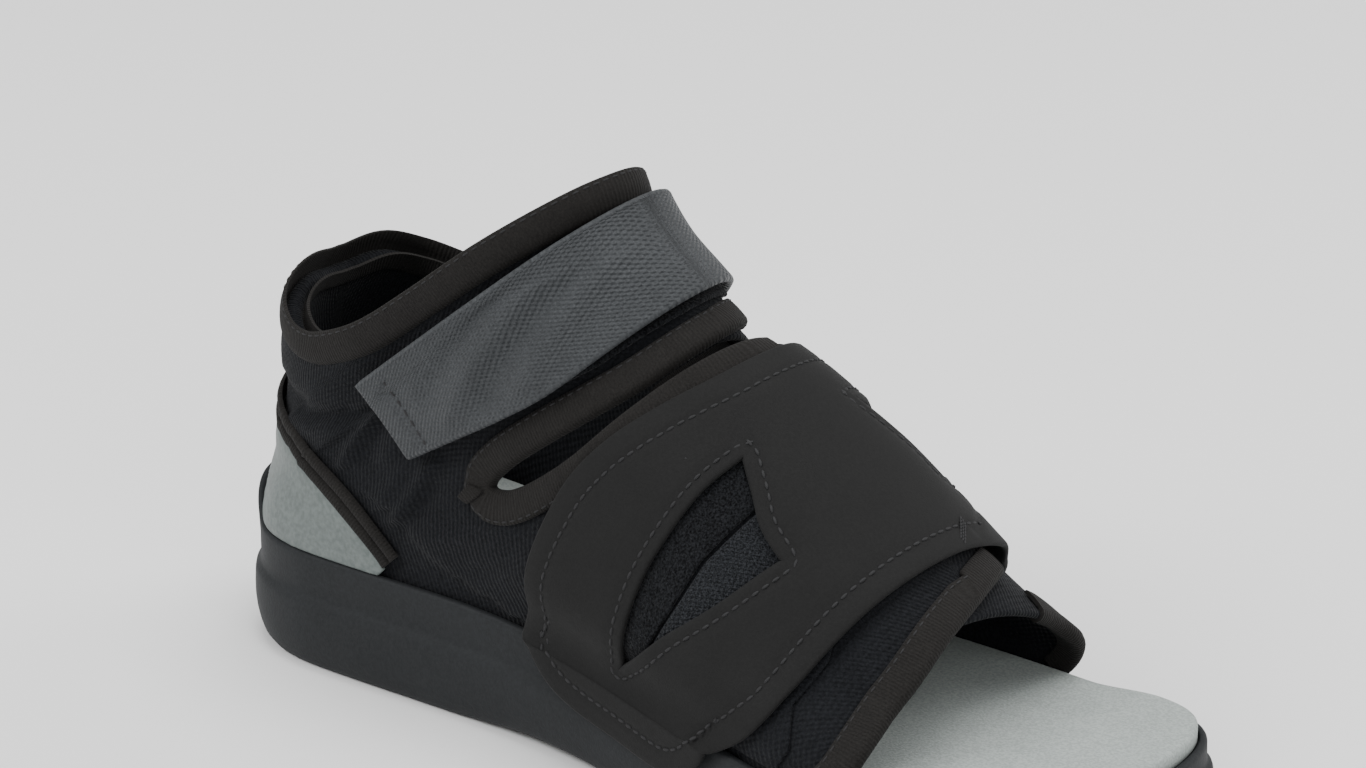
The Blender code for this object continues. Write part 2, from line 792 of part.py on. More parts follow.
def start():
    for old in list(bpy.data.objects):
        bpy.data.objects.remove(old)
    for name in (PARTS, CUTTERS):
        bpy.context.scene.collection.children.link(bpy.data.collections.new(name))


def give_finish(made, name):
    made.data.materials.append(finish(name))


# Sole and insole


def ring_at(inset, height):
    """One ring of the sole at an inset, with its height from a function of x."""
    flat = inset_ring(OUTLINE, inset)
    return np.column_stack([flat, height(flat[:, 0])])


def stack_rings(name, rings):
    """Solid through rings round the outline, closed by strips from side to side."""
    size = len(OUTLINE)
    faces = []
    for i in range(len(rings) - 1):
        for k in range(size):
            a, b = i * size + k, i * size + (k + 1) % size
            faces.append((a, b, b + size, a + size))
    for top, start_index in ((False, 0), (True, (len(rings) - 1) * size)):
        for k in range(HALF - 1):
            lateral = [start_index + k, start_index + k + 1]
            medial = [start_index + (size - k - 1) % size, start_index + (size - k) % size]
            face = list(dict.fromkeys(lateral + medial))
            faces.append(tuple(face if top else reversed(face)))
    return make_object(name, np.vstack(rings), faces)


def make_sole():
    rings = []
    for steps, share in SIDE_RINGS:
        def height(x, share=share):
            return bottom_height(x) + (side_height(x) - bottom_height(x)) * share
        rings.append(ring_at(steps * SIDE_STEP, height))
    lift = 0.0012
    edge_inset = SIDE_RINGS[-1][0] * SIDE_STEP * (1 - 0.8 * (1 - smooth(OUTLINE[:, 0], 0, 0.05 * LENGTH)))
    rings.append(ring_at(edge_inset, lambda x: rim_height(x) - lift))
    rings.append(ring_at(edge_inset + 0.4 * lift, rim_height))
    rings.append(ring_at(RIM_WIDTH, rim_height))
    rings.append(ring_at(RIM_WIDTH, seat_height))
    sole = stack_rings("sole", rings)
    give_finish(sole, "sole")
    cut_grooves(sole)


def cut_grooves(sole):
    """Cross grooves in the tread of the heel and of the forefoot, clear of the sole's edge."""
    lateral, medial = outline_halves()
    order = np.argsort(lateral[:, 0])
    shell = bmesh.new()
    for low, high in ((0.12, 0.33), (0.60, 0.84)):
        count = int((high - low) * LENGTH / GROOVE_PITCH)
        for i in range(count + 1):
            x = low * LENGTH + i * GROOVE_PITCH
            near = np.interp(x, lateral[order, 0], lateral[order, 1]) + GROOVE_MARGIN
            far = np.interp(x, medial[order, 0], medial[order, 1]) - GROOVE_MARGIN
            box = bmesh.ops.create_cube(shell, size=1)["verts"]
            top = bottom_height(x) + GROOVE_DEPTH
            bmesh.ops.scale(shell, verts=box, vec=(GROOVE_WIDTH, far - near, 2 * top))
            middle = Vector((x, 0.5 * (near + far), 0)) + Vector(SHIFT)
            bmesh.ops.translate(shell, verts=box, vec=middle)
    mesh = bpy.data.meshes.new("groove_cutter")
    shell.to_mesh(mesh)
    shell.free()
    cutter = bpy.data.objects.new("groove_cutter", mesh)
    cutter.hide_render = True
    cutter.display_type = "WIRE"
    bpy.data.collections[CUTTERS].objects.link(cutter)
    cut = sole.modifiers.new("grooves", "BOOLEAN")
    cut.operation = "DIFFERENCE"
    cut.solver = "EXACT"
    cut.object = cutter


def make_insole():
    """Flat foam insole, inside the upper along the foot and out to the rim at the open toe."""
    front = smooth(OUTLINE[:, 0], 0.84 * LENGTH, 0.91 * LENGTH)
    inset = (FEATHER + INSOLE_GAP) * (1 - front) + (RIM_WIDTH + LAYER_GAP) * front
    rings = [
        ring_at(inset + 0.0006, lambda x: seat_height(x) + GAP),
        ring_at(inset, lambda x: seat_height(x) + GAP + 0.2 * INSOLE_THICK),
        ring_at(inset, lambda x: seat_height(x) + GAP + 0.8 * INSOLE_THICK),
        ring_at(inset + 0.0010, lambda x: seat_height(x) + GAP + INSOLE_THICK),
    ]
    give_finish(stack_rings("insole", rings), "insole")


# Upper


def counter_edge(side):
    """Front edge of the counter on one side, from the sole up to the back seam."""
    curve = []
    for x, rise in through(COUNTER_EDGE, 5):
        curve.append(closest(np.array([x * LENGTH, HEEL_SEAT + rise * BACK_RISE]), side, (0, 2)))
    back = np.interp(COUNTER_TOP, [row[2] for row in BACK_ROWS], [1 + row[0] for row in BACK_ROWS])
    curve = np.array(curve + [(back, side)])
    return by_length(curve, EDGE_STEP)


def side_curve(points, side):
    return np.array([(u, side * w) for u, w in points])


def upper_loop(side, front, reach, fore_reach):
    """Outline of one half of the upper on the last, from the front of the sole line round to the toe edge."""
    top = COLLAR_EDGE[0][0]
    slot = SLOT_EDGE
    base = np.vstack([straight_run(front[-1][0], 1.0, side)[:-1], straight_run(1.0, top, side)])
    collar = edge(list(side_curve(COLLAR_EDGE, side)) + [(COLLAR_EDGE[-1][0], -side * reach)])
    rear = [(slot[0][0] + 0.03, -side * reach)] + list(side_curve(slot, side))
    fore = [(slot[-1][0] - 0.015, -side * fore_reach)]
    opening = edge(rear + fore, 0.8 * EDGE_STEP)
    toe = edge(front)
    flap = edge([tuple(collar[-1]), tuple(opening[0])])
    tail = edge([tuple(opening[-1]), tuple(toe[0])])
    return np.vstack([base, collar[1:], flap[1:-1], opening, tail[1:-1], toe[:-1]])


def make_upper():
    upper = Sheet()
    loop = upper_loop(-1, LATERAL_FRONT, ANKLE_REACH, LATERAL_REACH)
    upper.add(*triangulate([loop]), lateral_inner, lateral_outer)
    loop = upper_loop(1, MEDIAL_FRONT, ANKLE_REACH, MEDIAL_REACH)
    upper.add(*triangulate([loop]), medial_inner, medial_outer)
    give_finish(upper.solid("upper"), "upper")


def make_counter():
    """Smooth counter round the back of the heel, down to the sole's rim."""
    inner, outer = layer(COUNTER_GAP, COUNTER_THICK)
    lift = WALL + COUNTER_GAP + COUNTER_THICK
    counter = Sheet()
    for side in (-1, 1):
        back = np.linspace(1.0, 1.4, 801)
        height = on_last(back, np.full_like(back, float(side)), np.full_like(back, lift))
        seam_u = back[height[:, 2] > rim_height(height[:, 0]) + LIP_GAP].min()
        top = counter_edge(side)
        crossing = np.array([rim_crossing(u, side, lift) if u < seam_u else side for u in top[:, 0]])
        top = top[np.abs(top[:, 1]) < np.abs(crossing) - 0.02 * (top[:, 0] < seam_u)]
        low_u = np.arange(top[0, 0], seam_u - 0.005, 0.02)
        low = np.array([(u, rim_crossing(u, side, lift)) for u in low_u])
        seam = straight_run(seam_u, top[-1, 0], side)
        counter.add(*triangulate([np.vstack([low, seam, top[-2::-1]])]), inner, outer)
    give_finish(counter.solid("heel_counter"), "counter")


# Bindings, pad and straps


def clear_of_rim(curve, lift):
    """The stretch of an edge that lies over the sole's rim."""
    limit = np.array([abs(rim_crossing(u, 1 if w > 0 else -1, lift)) if u < 1 else 1.01 for u, w in curve])
    return curve[np.abs(curve[:, 1]) < limit - 0.01]


def make_counter_binding():
    """Doubled tape over the counter's front edge, with a groove down its middle."""
    inner, outer = layer(COUNTER_GAP, COUNTER_BINDING_THICK)
    groove = ((0.04, 1), (0.44, 1), (0.50, 0.45), (0.56, 1), (1.0, 1))
    curve = clear_of_rim(np.vstack([counter_edge(-1), counter_edge(1)[-2::-1]]), WALL + 2 * COUNTER_GAP)
    give_finish(tape("counter_binding", curve, COUNTER_BINDING_WIDTH, -1, inner, outer, groove), "binding")


def make_collar_binding():
    """Tape over the collar's edge, from one ankle flap round the back to the other."""
    inner, outer = layer(LAYER_GAP, BINDING_THICK)
    lateral = edge([(COLLAR_EDGE[-1][0], ANKLE_REACH)] + list(side_curve(COLLAR_EDGE[::-1], -1)))
    medial = edge(side_curve(COLLAR_EDGE, 1))
    medial = medial[medial[:, 1] > ANKLE_REACH + 0.05]
    curve = np.vstack([lateral, medial[1:]])
    give_finish(tape("collar_binding", curve, BINDING_WIDTH, -1, inner, outer), "binding")


def make_slot_bindings():
    """Tapes round the slot between the ankle flap and the forefoot flap, one on each side."""
    inner, outer = layer(LAYER_GAP, BINDING_THICK)
    rear, fore = SLOT_EDGE[0][0], SLOT_EDGE[-1][0]
    lateral = [(rear + 0.02, ANKLE_REACH - 0.02)] + list(side_curve(SLOT_EDGE, -1)) + [(fore - 0.006, 0.06)]
    curve = edge(lateral, 0.8 * EDGE_STEP)
    give_finish(tape("slot_binding_lateral", curve, BINDING_WIDTH, -1, inner, outer), "binding")
    curve = edge(side_curve(SLOT_EDGE, 1), 0.8 * EDGE_STEP)
    half = int(np.argmax(curve[:, 1]))
    keep = curve[:, 1] > np.where(np.arange(len(curve)) < half, ANKLE_REACH, LATERAL_REACH) + 0.05
    inner, outer = (lambda u, w: medial_outer(u, w) + LAYER_GAP), (
        lambda u, w: medial_outer(u, w) + LAYER_GAP + BINDING_THICK)
    give_finish(tape("slot_binding_medial", curve[keep], BINDING_WIDTH, 1, inner, outer), "binding")


def make_front_bindings():
    """Tapes over the front edges of the two forefoot flaps."""
    inner, outer = layer(LAYER_GAP, BINDING_THICK)
    curve = clear_of_rim(edge(LATERAL_FRONT), WALL + LAYER_GAP)
    give_finish(tape("flap_binding_lateral", curve, BINDING_WIDTH, -1, inner, outer), "binding")
    inner, outer = (lambda u, w: medial_outer(u, w) + LAYER_GAP), (
        lambda u, w: medial_outer(u, w) + LAYER_GAP + BINDING_THICK)
    curve = edge(MEDIAL_FRONT)
    curve = clear_of_rim(curve[curve[:, 1] > LATERAL_REACH + 0.04], WALL + LAYER_GAP)
    give_finish(tape("flap_binding_medial", curve, BINDING_WIDTH, 1, inner, outer), "binding")


def make_ankle_pad():
    """Loop fastening pad on the lateral ankle flap."""
    sheet = Sheet()
    closed = list(PAD_EDGE) + [PAD_EDGE[0]]
    loop = np.vstack([edge([a, b])[:-1] for a, b in zip(closed, closed[1:])])
    sheet.add(*triangulate([loop]), *layer(LAYER_GAP, PAD_THICK))
    give_finish(sheet.solid("ankle_pad"), "pad")


def make_ankle_strap():
    """Webbing strap over the ankle, its square end on the lateral side."""
    sheet = Sheet()
    top, low = edge(ANKLE_STRAP_TOP), edge(ANKLE_STRAP_LOW)
    medial_end = edge([tuple(top[-1]), tuple(low[0])])
    lateral_end = edge([tuple(low[-1]), tuple(top[0])])
    loop = np.vstack([top[:-1], medial_end[:-1], low[:-1], lateral_end[:-1]])
    sheet.add(*triangulate([loop]), *layer(LAYER_GAP + PAD_THICK + ANKLE_STRAP_GAP, ANKLE_STRAP_THICK))
    give_finish(sheet.solid("ankle_strap"), "webbing")


def make_forefoot_strap():
    """Broad strap over the instep with a leaf-shaped window on each side, down over the sole laterally."""
    sheet = Sheet()
    outline = list(STRAP_REAR) + list(STRAP_END) + list(STRAP_FRONT)
    around = by_length(through(outline), EDGE_STEP, strap_place)
    medial_end = edge([STRAP_FRONT[-1], STRAP_REAR[0]])
    loops = [np.vstack([around[:-1], medial_end[:-1]])]
    for side in (-1, 1):
        leaf = [(u, -side * w + (0 if side < 0 else -WINDOW_SHIFT)) for u, w in WINDOW]
        leaf = [(u, w if side > 0 else -abs(w)) for u, w in leaf]
        loops.append(edge(leaf + [leaf[0]], 0.8 * EDGE_STEP)[:-1])
    sheet.add(*triangulate(loops), *layer(STRAP_LIFT, FORE_STRAP_THICK), strap_place)
    give_finish(sheet.solid("forefoot_strap"), "strap")


def main():
    start()
    make_sole()
    make_insole()
    make_upper()
    make_counter()
    make_counter_binding()
    make_collar_binding()
    make_slot_bindings()
    make_front_bindings()
    make_ankle_pad()
    make_ankle_strap()
    make_forefoot_strap()


main()
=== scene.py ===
import math

import bmesh
import bpy
import numpy as np
from mathutils import Matrix, Vector
from mathutils.geometry import delaunay_2d_cdt


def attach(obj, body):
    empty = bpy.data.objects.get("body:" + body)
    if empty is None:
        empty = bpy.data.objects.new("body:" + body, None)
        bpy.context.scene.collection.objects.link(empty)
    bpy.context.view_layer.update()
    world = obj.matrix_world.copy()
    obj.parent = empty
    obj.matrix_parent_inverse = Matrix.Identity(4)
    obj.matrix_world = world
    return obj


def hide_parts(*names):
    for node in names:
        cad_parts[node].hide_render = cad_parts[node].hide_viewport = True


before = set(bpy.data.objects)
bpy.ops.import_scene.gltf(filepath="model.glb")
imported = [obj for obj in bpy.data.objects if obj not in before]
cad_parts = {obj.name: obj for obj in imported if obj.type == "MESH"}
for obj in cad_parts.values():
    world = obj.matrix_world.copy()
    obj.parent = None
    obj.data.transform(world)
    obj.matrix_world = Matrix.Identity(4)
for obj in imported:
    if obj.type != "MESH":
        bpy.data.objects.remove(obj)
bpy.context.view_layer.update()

# Camera
# It keeps the photograph's angle to the shoe. The aim point, in metres, shows at the aim pixel
# of the 1366 by 768 frame, and the focal length is in the same pixels.
FRAME_WIDTH = 1366
FRAME_HEIGHT = 768
FOCAL_PIXELS = 4639
CAMERA_AZIMUTH = math.radians(40.8)
CAMERA_ELEVATION = math.radians(21.0)
CAMERA_DISTANCE = 1.2772
AIM = Vector((-0.0418, 0.0541, 0.0197))
AIM_PIXEL = (700, 560)
SENSOR_WIDTH = 36.0

cam_back = Vector((math.sin(CAMERA_AZIMUTH) * math.cos(CAMERA_ELEVATION),
                   -math.cos(CAMERA_AZIMUTH) * math.cos(CAMERA_ELEVATION),
                   math.sin(CAMERA_ELEVATION)))
cam_right = Vector((math.cos(CAMERA_AZIMUTH), math.sin(CAMERA_AZIMUTH), 0))
cam_up = cam_back.cross(cam_right)
aim_ray = (cam_right * (AIM_PIXEL[0] - FRAME_WIDTH / 2) - cam_up * (AIM_PIXEL[1] - FRAME_HEIGHT / 2))
camera_data = bpy.data.cameras.new("camera")
camera_data.sensor_width = SENSOR_WIDTH
camera_data.lens = FOCAL_PIXELS * SENSOR_WIDTH / FRAME_WIDTH
camera_data.clip_end = 50
camera = bpy.data.objects.new("camera", camera_data)
camera.matrix_world = Matrix.Translation(AIM - CAMERA_DISTANCE * (aim_ray / FOCAL_PIXELS - cam_back)) @ (
    Matrix((cam_right, cam_up, cam_back)).transposed().to_4x4())
bpy.context.scene.collection.objects.link(camera)
bpy.context.scene.camera = camera

# Studio
# A plain pale floor, a bright even surround and three large soft lights: a key over the camera's left,
# a broad top light and a weaker light from behind that gives the cloth its rim.
FLOOR_SIZE = 8.0
FLOOR_COLOR = (0.84, 0.84, 0.84, 1)
SURROUND_STRENGTH = 0.50
LIGHTS_AIM = (0, 0, 0.06)
LIGHTS = (
    # name, place, size, watts
    ("key", (-0.9, -1.5, 1.6), 1.0, 38),
    ("top", (0.1, 0.2, 2.2), 1.5, 44),
    ("rim", (0.9, 1.5, 1.0), 1.0, 16),
    ("front", (1.5, -0.9, 0.9), 1.2, 14),
)


def node(tree, kind, values=None, **settings):
    """Shader or geometry node with its settings and socket values."""
    made = tree.nodes.new(kind)
    for key, value in settings.items():
        setattr(made, key, value)
    for key, value in (values or {}).items():
        if isinstance(value, bpy.types.NodeSocket):
            tree.links.new(value, made.inputs[key])
        else:
            made.inputs[key].default_value = value
    return made


def new_material(name, rough, sheen=0.0, specular=0.5):
    """Principled material and its tree."""
    material = bpy.data.materials.new(name)
    material.use_nodes = True
    shader = material.node_tree.nodes["Principled BSDF"]
    shader.inputs["Roughness"].default_value = rough
    shader.inputs["Sheen Weight"].default_value = sheen
    shader.inputs["Sheen Roughness"].default_value = 0.45
    shader.inputs["Specular IOR Level"].default_value = specular
    return material, material.node_tree, shader


floor_material, _, floor_shader = new_material("floor", 0.9, specular=0.1)
floor_shader.inputs["Base Color"].default_value = FLOOR_COLOR
floor_mesh = bpy.data.meshes.new("floor")
half_floor = FLOOR_SIZE / 2
floor_corners = [(x * half_floor, y * half_floor, 0) for x, y in ((-1, -1), (1, -1), (1, 1), (-1, 1))]
floor_mesh.from_pydata(floor_corners, [], [(0, 1, 2, 3)])
floor_mesh.materials.append(floor_material)
floor = bpy.data.objects.new("floor", floor_mesh)
bpy.context.scene.collection.objects.link(floor)

world = bpy.data.worlds.new("surround")
world.use_nodes = True
world.node_tree.nodes["Background"].inputs["Color"].default_value = (1, 1, 1, 1)
world.node_tree.nodes["Background"].inputs["Strength"].default_value = SURROUND_STRENGTH
bpy.context.scene.world = world
for light_name, light_place, light_size, light_watts in LIGHTS:
    light_data = bpy.data.lights.new(light_name, "AREA")
    light_data.size = light_size
    light_data.energy = light_watts
    light = bpy.data.objects.new(light_name, light_data)
    light.location = light_place
    light.rotation_euler = (Vector(LIGHTS_AIM) - light.location).to_track_quat("-Z", "Y").to_euler()
    bpy.context.scene.collection.objects.link(light)

# Sole
# One moulded foam sole: rounded heel with a raised lip, drawn-in waist, broad square toe, a soft ridge
# along its side and a rounded rim over a groove at the toe. The sizes are those of the construction.
LENGTH = 0.286
BALL_WIDTH = 0.108
HEEL_SEAT = 0.032
TOE_SEAT = 0.023
TOE_SPRING = 0.007
HEEL_BEVEL = 0.008
ARCH_RISE = 0.002
RIM_DEPTH = 0.0015
RIM_WIDTH = 0.004
HEEL_LIP = 0.0105
SIDE_STEP = 0.0014
RIM_ROUND = 0.0014
RIM_INNER_ROUND = 0.0006
SEAT_MARGIN = 0.004
GROOVE_DEPTH = 0.0025
GROOVE_WIDTH = 0.005
GROOVE_PITCH = 0.0165
GROOVE_MARGIN = 0.012
GROOVE_RUNS = ((0.12, 0.33), (0.60, 0.84))
STRAP_SPREAD = 0.0022
END_POINTS = 44
MIDDLE_POINTS = 74
# Columns: share of the length, lateral and medial share of the ball width
HALF_WIDTHS = (
    (0.00, 0.372, 0.362),
    (0.17, 0.372, 0.360),
    (0.35, 0.350, 0.342),
    (0.49, 0.374, 0.362),
    (0.64, 0.448, 0.425),
    (0.77, 0.497, 0.475),
    (0.89, 0.487, 0.480),
    (1.00, 0.460, 0.468),
)
HEEL_END = (0.150, 2.4)
TOE_END = (0.105, 3.2)
# Columns: inset in side steps, height share of the side
SIDE_RINGS = (
    (3.2, 0.000),
    (2.3, 0.020),
    (1.3, 0.075),
    (0.7, 0.150),
    (0.25, 0.240),
    (0.0, 0.34),
    (0.0, 0.44),
    (0.12, 0.55),
    (0.35, 0.600),
    (0.95, 0.630),
    (1.25, 0.665),
    (1.32, 0.72),
    (1.30, 0.80),
    (1.34, 0.88),
)


def natural_spline(rows):
    """Cubic through the rows of a table, each row a place and its values."""
    table = np.array(rows, float)
    place, value = table[:, 0], table[:, 1:]
    count = len(place)
    step = np.diff(place)
    system = np.eye(count)
    right = np.zeros_like(value)
    for i in range(1, count - 1):
        system[i, i - 1:i + 2] = step[i - 1], 2 * (step[i - 1] + step[i]), step[i]
        right[i] = 6 * ((value[i + 1] - value[i]) / step[i] - (value[i] - value[i - 1]) / step[i - 1])
    bend = np.linalg.solve(system, right)

    def at(x):
        x = np.asarray(x, float)
        i = np.clip(np.searchsorted(place, x) - 1, 0, count - 2)
        h = step[i][..., None]
        a = (place[i + 1] - x)[..., None] / h
        b = 1 - a
        curve = ((a ** 3 - a) * bend[i] + (b ** 3 - b) * bend[i + 1]) * h * h / 6
        return a * value[i] + b * value[i + 1] + curve

    return at


def smooth(x, low, high):
    """Soft step from 0 at low to 1 at high."""
    t = np.clip((np.asarray(x, float) - low) / (high - low), 0, 1)
    return t * t * (3 - 2 * t)


def bottom_height(x):
    heel = HEEL_BEVEL * (1 - smooth(x, -0.10 * LENGTH, 0.11 * LENGTH)) ** 1.5
    toe = TOE_SPRING * np.clip((np.asarray(x) / LENGTH - 0.70) / 0.30, 0, 1) ** 2
    arch = ARCH_RISE * smooth(x, 0.30 * LENGTH, 0.42 * LENGTH) * (1 - smooth(x, 0.46 * LENGTH, 0.60 * LENGTH))
    return heel + toe + arch


def seat_height(x):
    return HEEL_SEAT + (TOE_SEAT - HEEL_SEAT) * smooth(x, 0.30 * LENGTH, 0.85 * LENGTH)


def side_height(x):
    return seat_height(x) + RIM_DEPTH


def rim_height(x):
    return side_height(x) + HEEL_LIP * (1 - smooth(x, 0.002 * LENGTH, 0.062 * LENGTH))


def rounded_end(end, power, width):
    """Quarter of a rounded end, as shares of the length and of the width, with points evenly apart."""
    turn = np.linspace(0, np.pi / 2, 1600)
    curve = np.stack([end * (1 - np.cos(turn) ** (2 / power)), np.sin(turn) ** (2 / power)], 1)
    size = np.diff(curve * (LENGTH, width * BALL_WIDTH), axis=0)
    run = np.concatenate([[0], np.cumsum(np.linalg.norm(size, axis=1))])
    goal = np.linspace(0, run[-1], END_POINTS)
    return np.stack([np.interp(goal, run, curve[:, k]) for k in (0, 1)], 1)


def outline_halves():
    """Lateral and medial half of the sole's outline, with the same stations from toe to heel."""
    widths = natural_spline(HALF_WIDTHS)
    heel = rounded_end(*HEEL_END, HALF_WIDTHS[0][1])
    toe = rounded_end(*TOE_END, HALF_WIDTHS[-1][1])[::-1]
    toe[:, 0] = 1 - toe[:, 0]
    middle = np.linspace(heel[-1, 0], toe[0, 0], MIDDLE_POINTS)[1:-1]
    middle = np.stack([middle, np.ones_like(middle)], 1)
    stations = np.vstack([heel, middle, toe])[::-1]
    share = widths(stations[:, 0]) * stations[:, 1:]
    x = stations[:, 0] * LENGTH
    return np.stack([x, -share[:, 0] * BALL_WIDTH], 1), np.stack([x, share[:, 1] * BALL_WIDTH], 1)


LATERAL_HALF, MEDIAL_HALF = outline_halves()
OUTLINE = np.vstack([LATERAL_HALF, MEDIAL_HALF[-2:0:-1]])
HALF = len(OUTLINE) // 2 + 1
SHIFT = np.array([-0.5 * LENGTH, -0.5 * (OUTLINE[:, 1].min() - STRAP_SPREAD + OUTLINE[:, 1].max()), 0])


def inset_ring(ring, inset):
    """Outline moved inwards by an amount for each point."""
    along = np.roll(ring, -1, 0) - np.roll(ring, 1, 0)
    along /= np.linalg.norm(along, axis=1)[:, None]
    inward = np.stack([along[:, 1], -along[:, 0]], 1)
    if ((ring.mean(0) - ring) * inward).sum() < 0:
        inward = -inward
    return ring + inward * np.broadcast_to(inset, len(ring))[:, None]


def ring_at(inset, height):
    flat = inset_ring(OUTLINE, inset)
    return np.column_stack([flat, height(flat[:, 0])])


def finished(name, points, faces, material, replaced=(), uv=None, sharp=50):
    """Closed mesh object in the shared frame, smooth shaded, riding on the shoe's one body."""
    mesh = bpy.data.meshes.new(name)
    mesh.from_pydata((np.asarray(points) + SHIFT).tolist(), [], [tuple(map(int, f)) for f in faces])
    if uv is not None:
        layer = mesh.uv_layers.new(name="fabric")
        corners = np.empty(len(mesh.loops), int)
        mesh.loops.foreach_get("vertex_index", corners)
        layer.data.foreach_set("uv", np.asarray(uv)[corners].astype(np.float32).ravel())
    shell = bmesh.new()
    shell.from_mesh(mesh)
    bmesh.ops.remove_doubles(shell, verts=shell.verts, dist=1e-6)
    bmesh.ops.recalc_face_normals(shell, faces=shell.faces)
    shell.to_mesh(mesh)
    shell.free()
    mesh.shade_smooth()
    mesh.set_sharp_from_angle(angle=math.radians(sharp))
    mesh.materials.append(material)
    made = bpy.data.objects.new(name, mesh)
    bpy.context.scene.collection.objects.link(made)
    return dressed(made, replaced)


def dressed(made, replaced=()):
    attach(made, "root")
    if replaced:
        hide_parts(*replaced)
    return made


def ring_faces(count):
    """Strips between stacked rings, and caps from side to side."""
    size = len(OUTLINE)
    faces = []
    for i in range(count - 1):
        for k in range(size):
            a, b = i * size + k, i * size + (k + 1) % size
            faces.append((a, b, b + size, a + size))
    for start in (0, (count - 1) * size):
        for k in range(HALF - 1):
            face = [start + k, start + k + 1, start + (size - k - 1) % size, start + (size - k) % size]
            face = list(dict.fromkeys(face))
            faces.append(tuple(face if start else face[::-1]))
    return faces


def noise(tree, place, scale, detail=3.0):
    return node(tree, "ShaderNodeTexNoise", {"Vector": place, "Scale": scale, "Detail": detail}).outputs[0]


def mottle_group():
    """Soft cloudy variation between two colours, with a finer speckle over it."""
    tree = bpy.data.node_groups.new("mottle", "ShaderNodeTree")
    for name, kind in (("Vector", "Vector"), ("Dark", "Color"), ("Light", "Color"), ("Clouds", "Float"),
                       ("Speckle", "Float"), ("Share", "Float")):
        tree.interface.new_socket(name, in_out="INPUT", socket_type="NodeSocket" + kind)
    tree.interface.new_socket("Color", in_out="OUTPUT", socket_type="NodeSocketColor")
    given = node(tree, "NodeGroupInput").outputs
    clouds = noise(tree, given["Vector"], given["Clouds"], 4.0)
    speckle = noise(tree, given["Vector"], given["Speckle"], 2.0)
    spread = node(tree, "ShaderNodeMapRange", {"Value": speckle, "From Min": 0.35, "From Max": 0.65})
    both = node(tree, "ShaderNodeMix", {"Factor": given["Share"], "A": clouds, "B": spread.outputs[0]})
    color = node(tree, "ShaderNodeMix", data_type="RGBA")
    tree.links.new(both.outputs[0], color.inputs["Factor"])
    tree.links.new(given["Dark"], color.inputs[6])
    tree.links.new(given["Light"], color.inputs[7])
    out = node(tree, "NodeGroupOutput")
    tree.links.new(color.outputs[2], out.inputs["Color"])
    return tree


MOTTLE = mottle_group()


def mottled(tree, shader, dark, light, clouds, speckle, share):
    """Base colour from the mottle group on the piece's own coordinates."""
    place = node(tree, "ShaderNodeTexCoord").outputs["Object"]
    group = node(tree, "ShaderNodeGroup", node_tree=MOTTLE)
    tree.links.new(place, group.inputs["Vector"])
    group.inputs["Dark"].default_value = (*dark, 1)
    group.inputs["Light"].default_value = (*light, 1)
    group.inputs["Clouds"].default_value = clouds
    group.inputs["Speckle"].default_value = speckle
    group.inputs["Share"].default_value = share
    tree.links.new(group.outputs["Color"], shader.inputs["Base Color"])
    return place


def bumped(tree, shader, height, strength, distance):
    """Normal from one height, stacked on what the shader already has."""
    bump = node(tree, "ShaderNodeBump", {"Strength": strength, "Distance": distance, "Height": height})
    old = shader.inputs["Normal"].links
    if old:
        tree.links.new(old[0].from_socket, bump.inputs["Normal"])
    tree.links.new(bump.outputs["Normal"], shader.inputs["Normal"])


SOLE_DARK = (0.0095, 0.0105, 0.0115)
SOLE_LIGHT = (0.0190, 0.0206, 0.0222)
foam, foam_tree, foam_shader = new_material("sole_foam", 0.62, specular=0.16)
foam_place = mottled(foam_tree, foam_shader, SOLE_DARK, SOLE_LIGHT, 35.0, 900.0, 0.35)
bumped(foam_tree, foam_shader, noise(foam_tree, foam_place, 1500.0), 0.25, 0.0004)
bumped(foam_tree, foam_shader, noise(foam_tree, foam_place, 90.0), 0.12, 0.001)

sole_rings = []
for side_steps, side_share in SIDE_RINGS:
    sole_rings.append(ring_at(side_steps * SIDE_STEP, lambda x: (
        bottom_height(x) + (side_height(x) - bottom_height(x)) * side_share)))
edge_inset = SIDE_RINGS[-1][0] * SIDE_STEP * (1 - 0.8 * (1 - smooth(OUTLINE[:, 0], 0, 0.05 * LENGTH)))
for quarter in np.linspace(0, np.pi / 2, 5):
    sole_rings.append(ring_at(edge_inset + RIM_ROUND * (1 - np.cos(quarter)),
                              lambda x: rim_height(x) - RIM_ROUND * (1 - np.sin(quarter))))
for quarter in np.linspace(0, np.pi / 2, 4):
    sole_rings.append(ring_at(RIM_WIDTH - RIM_INNER_ROUND * (1 - np.sin(quarter)),
                              lambda x: rim_height(x) - RIM_INNER_ROUND * (1 - np.cos(quarter))))
sole_rings.append(ring_at(RIM_WIDTH, seat_height))
sole_rings.append(ring_at(RIM_WIDTH + SEAT_MARGIN, seat_height))
sole = finished("moulded_sole", np.vstack(sole_rings), ring_faces(len(sole_rings)), foam, ["sole"])

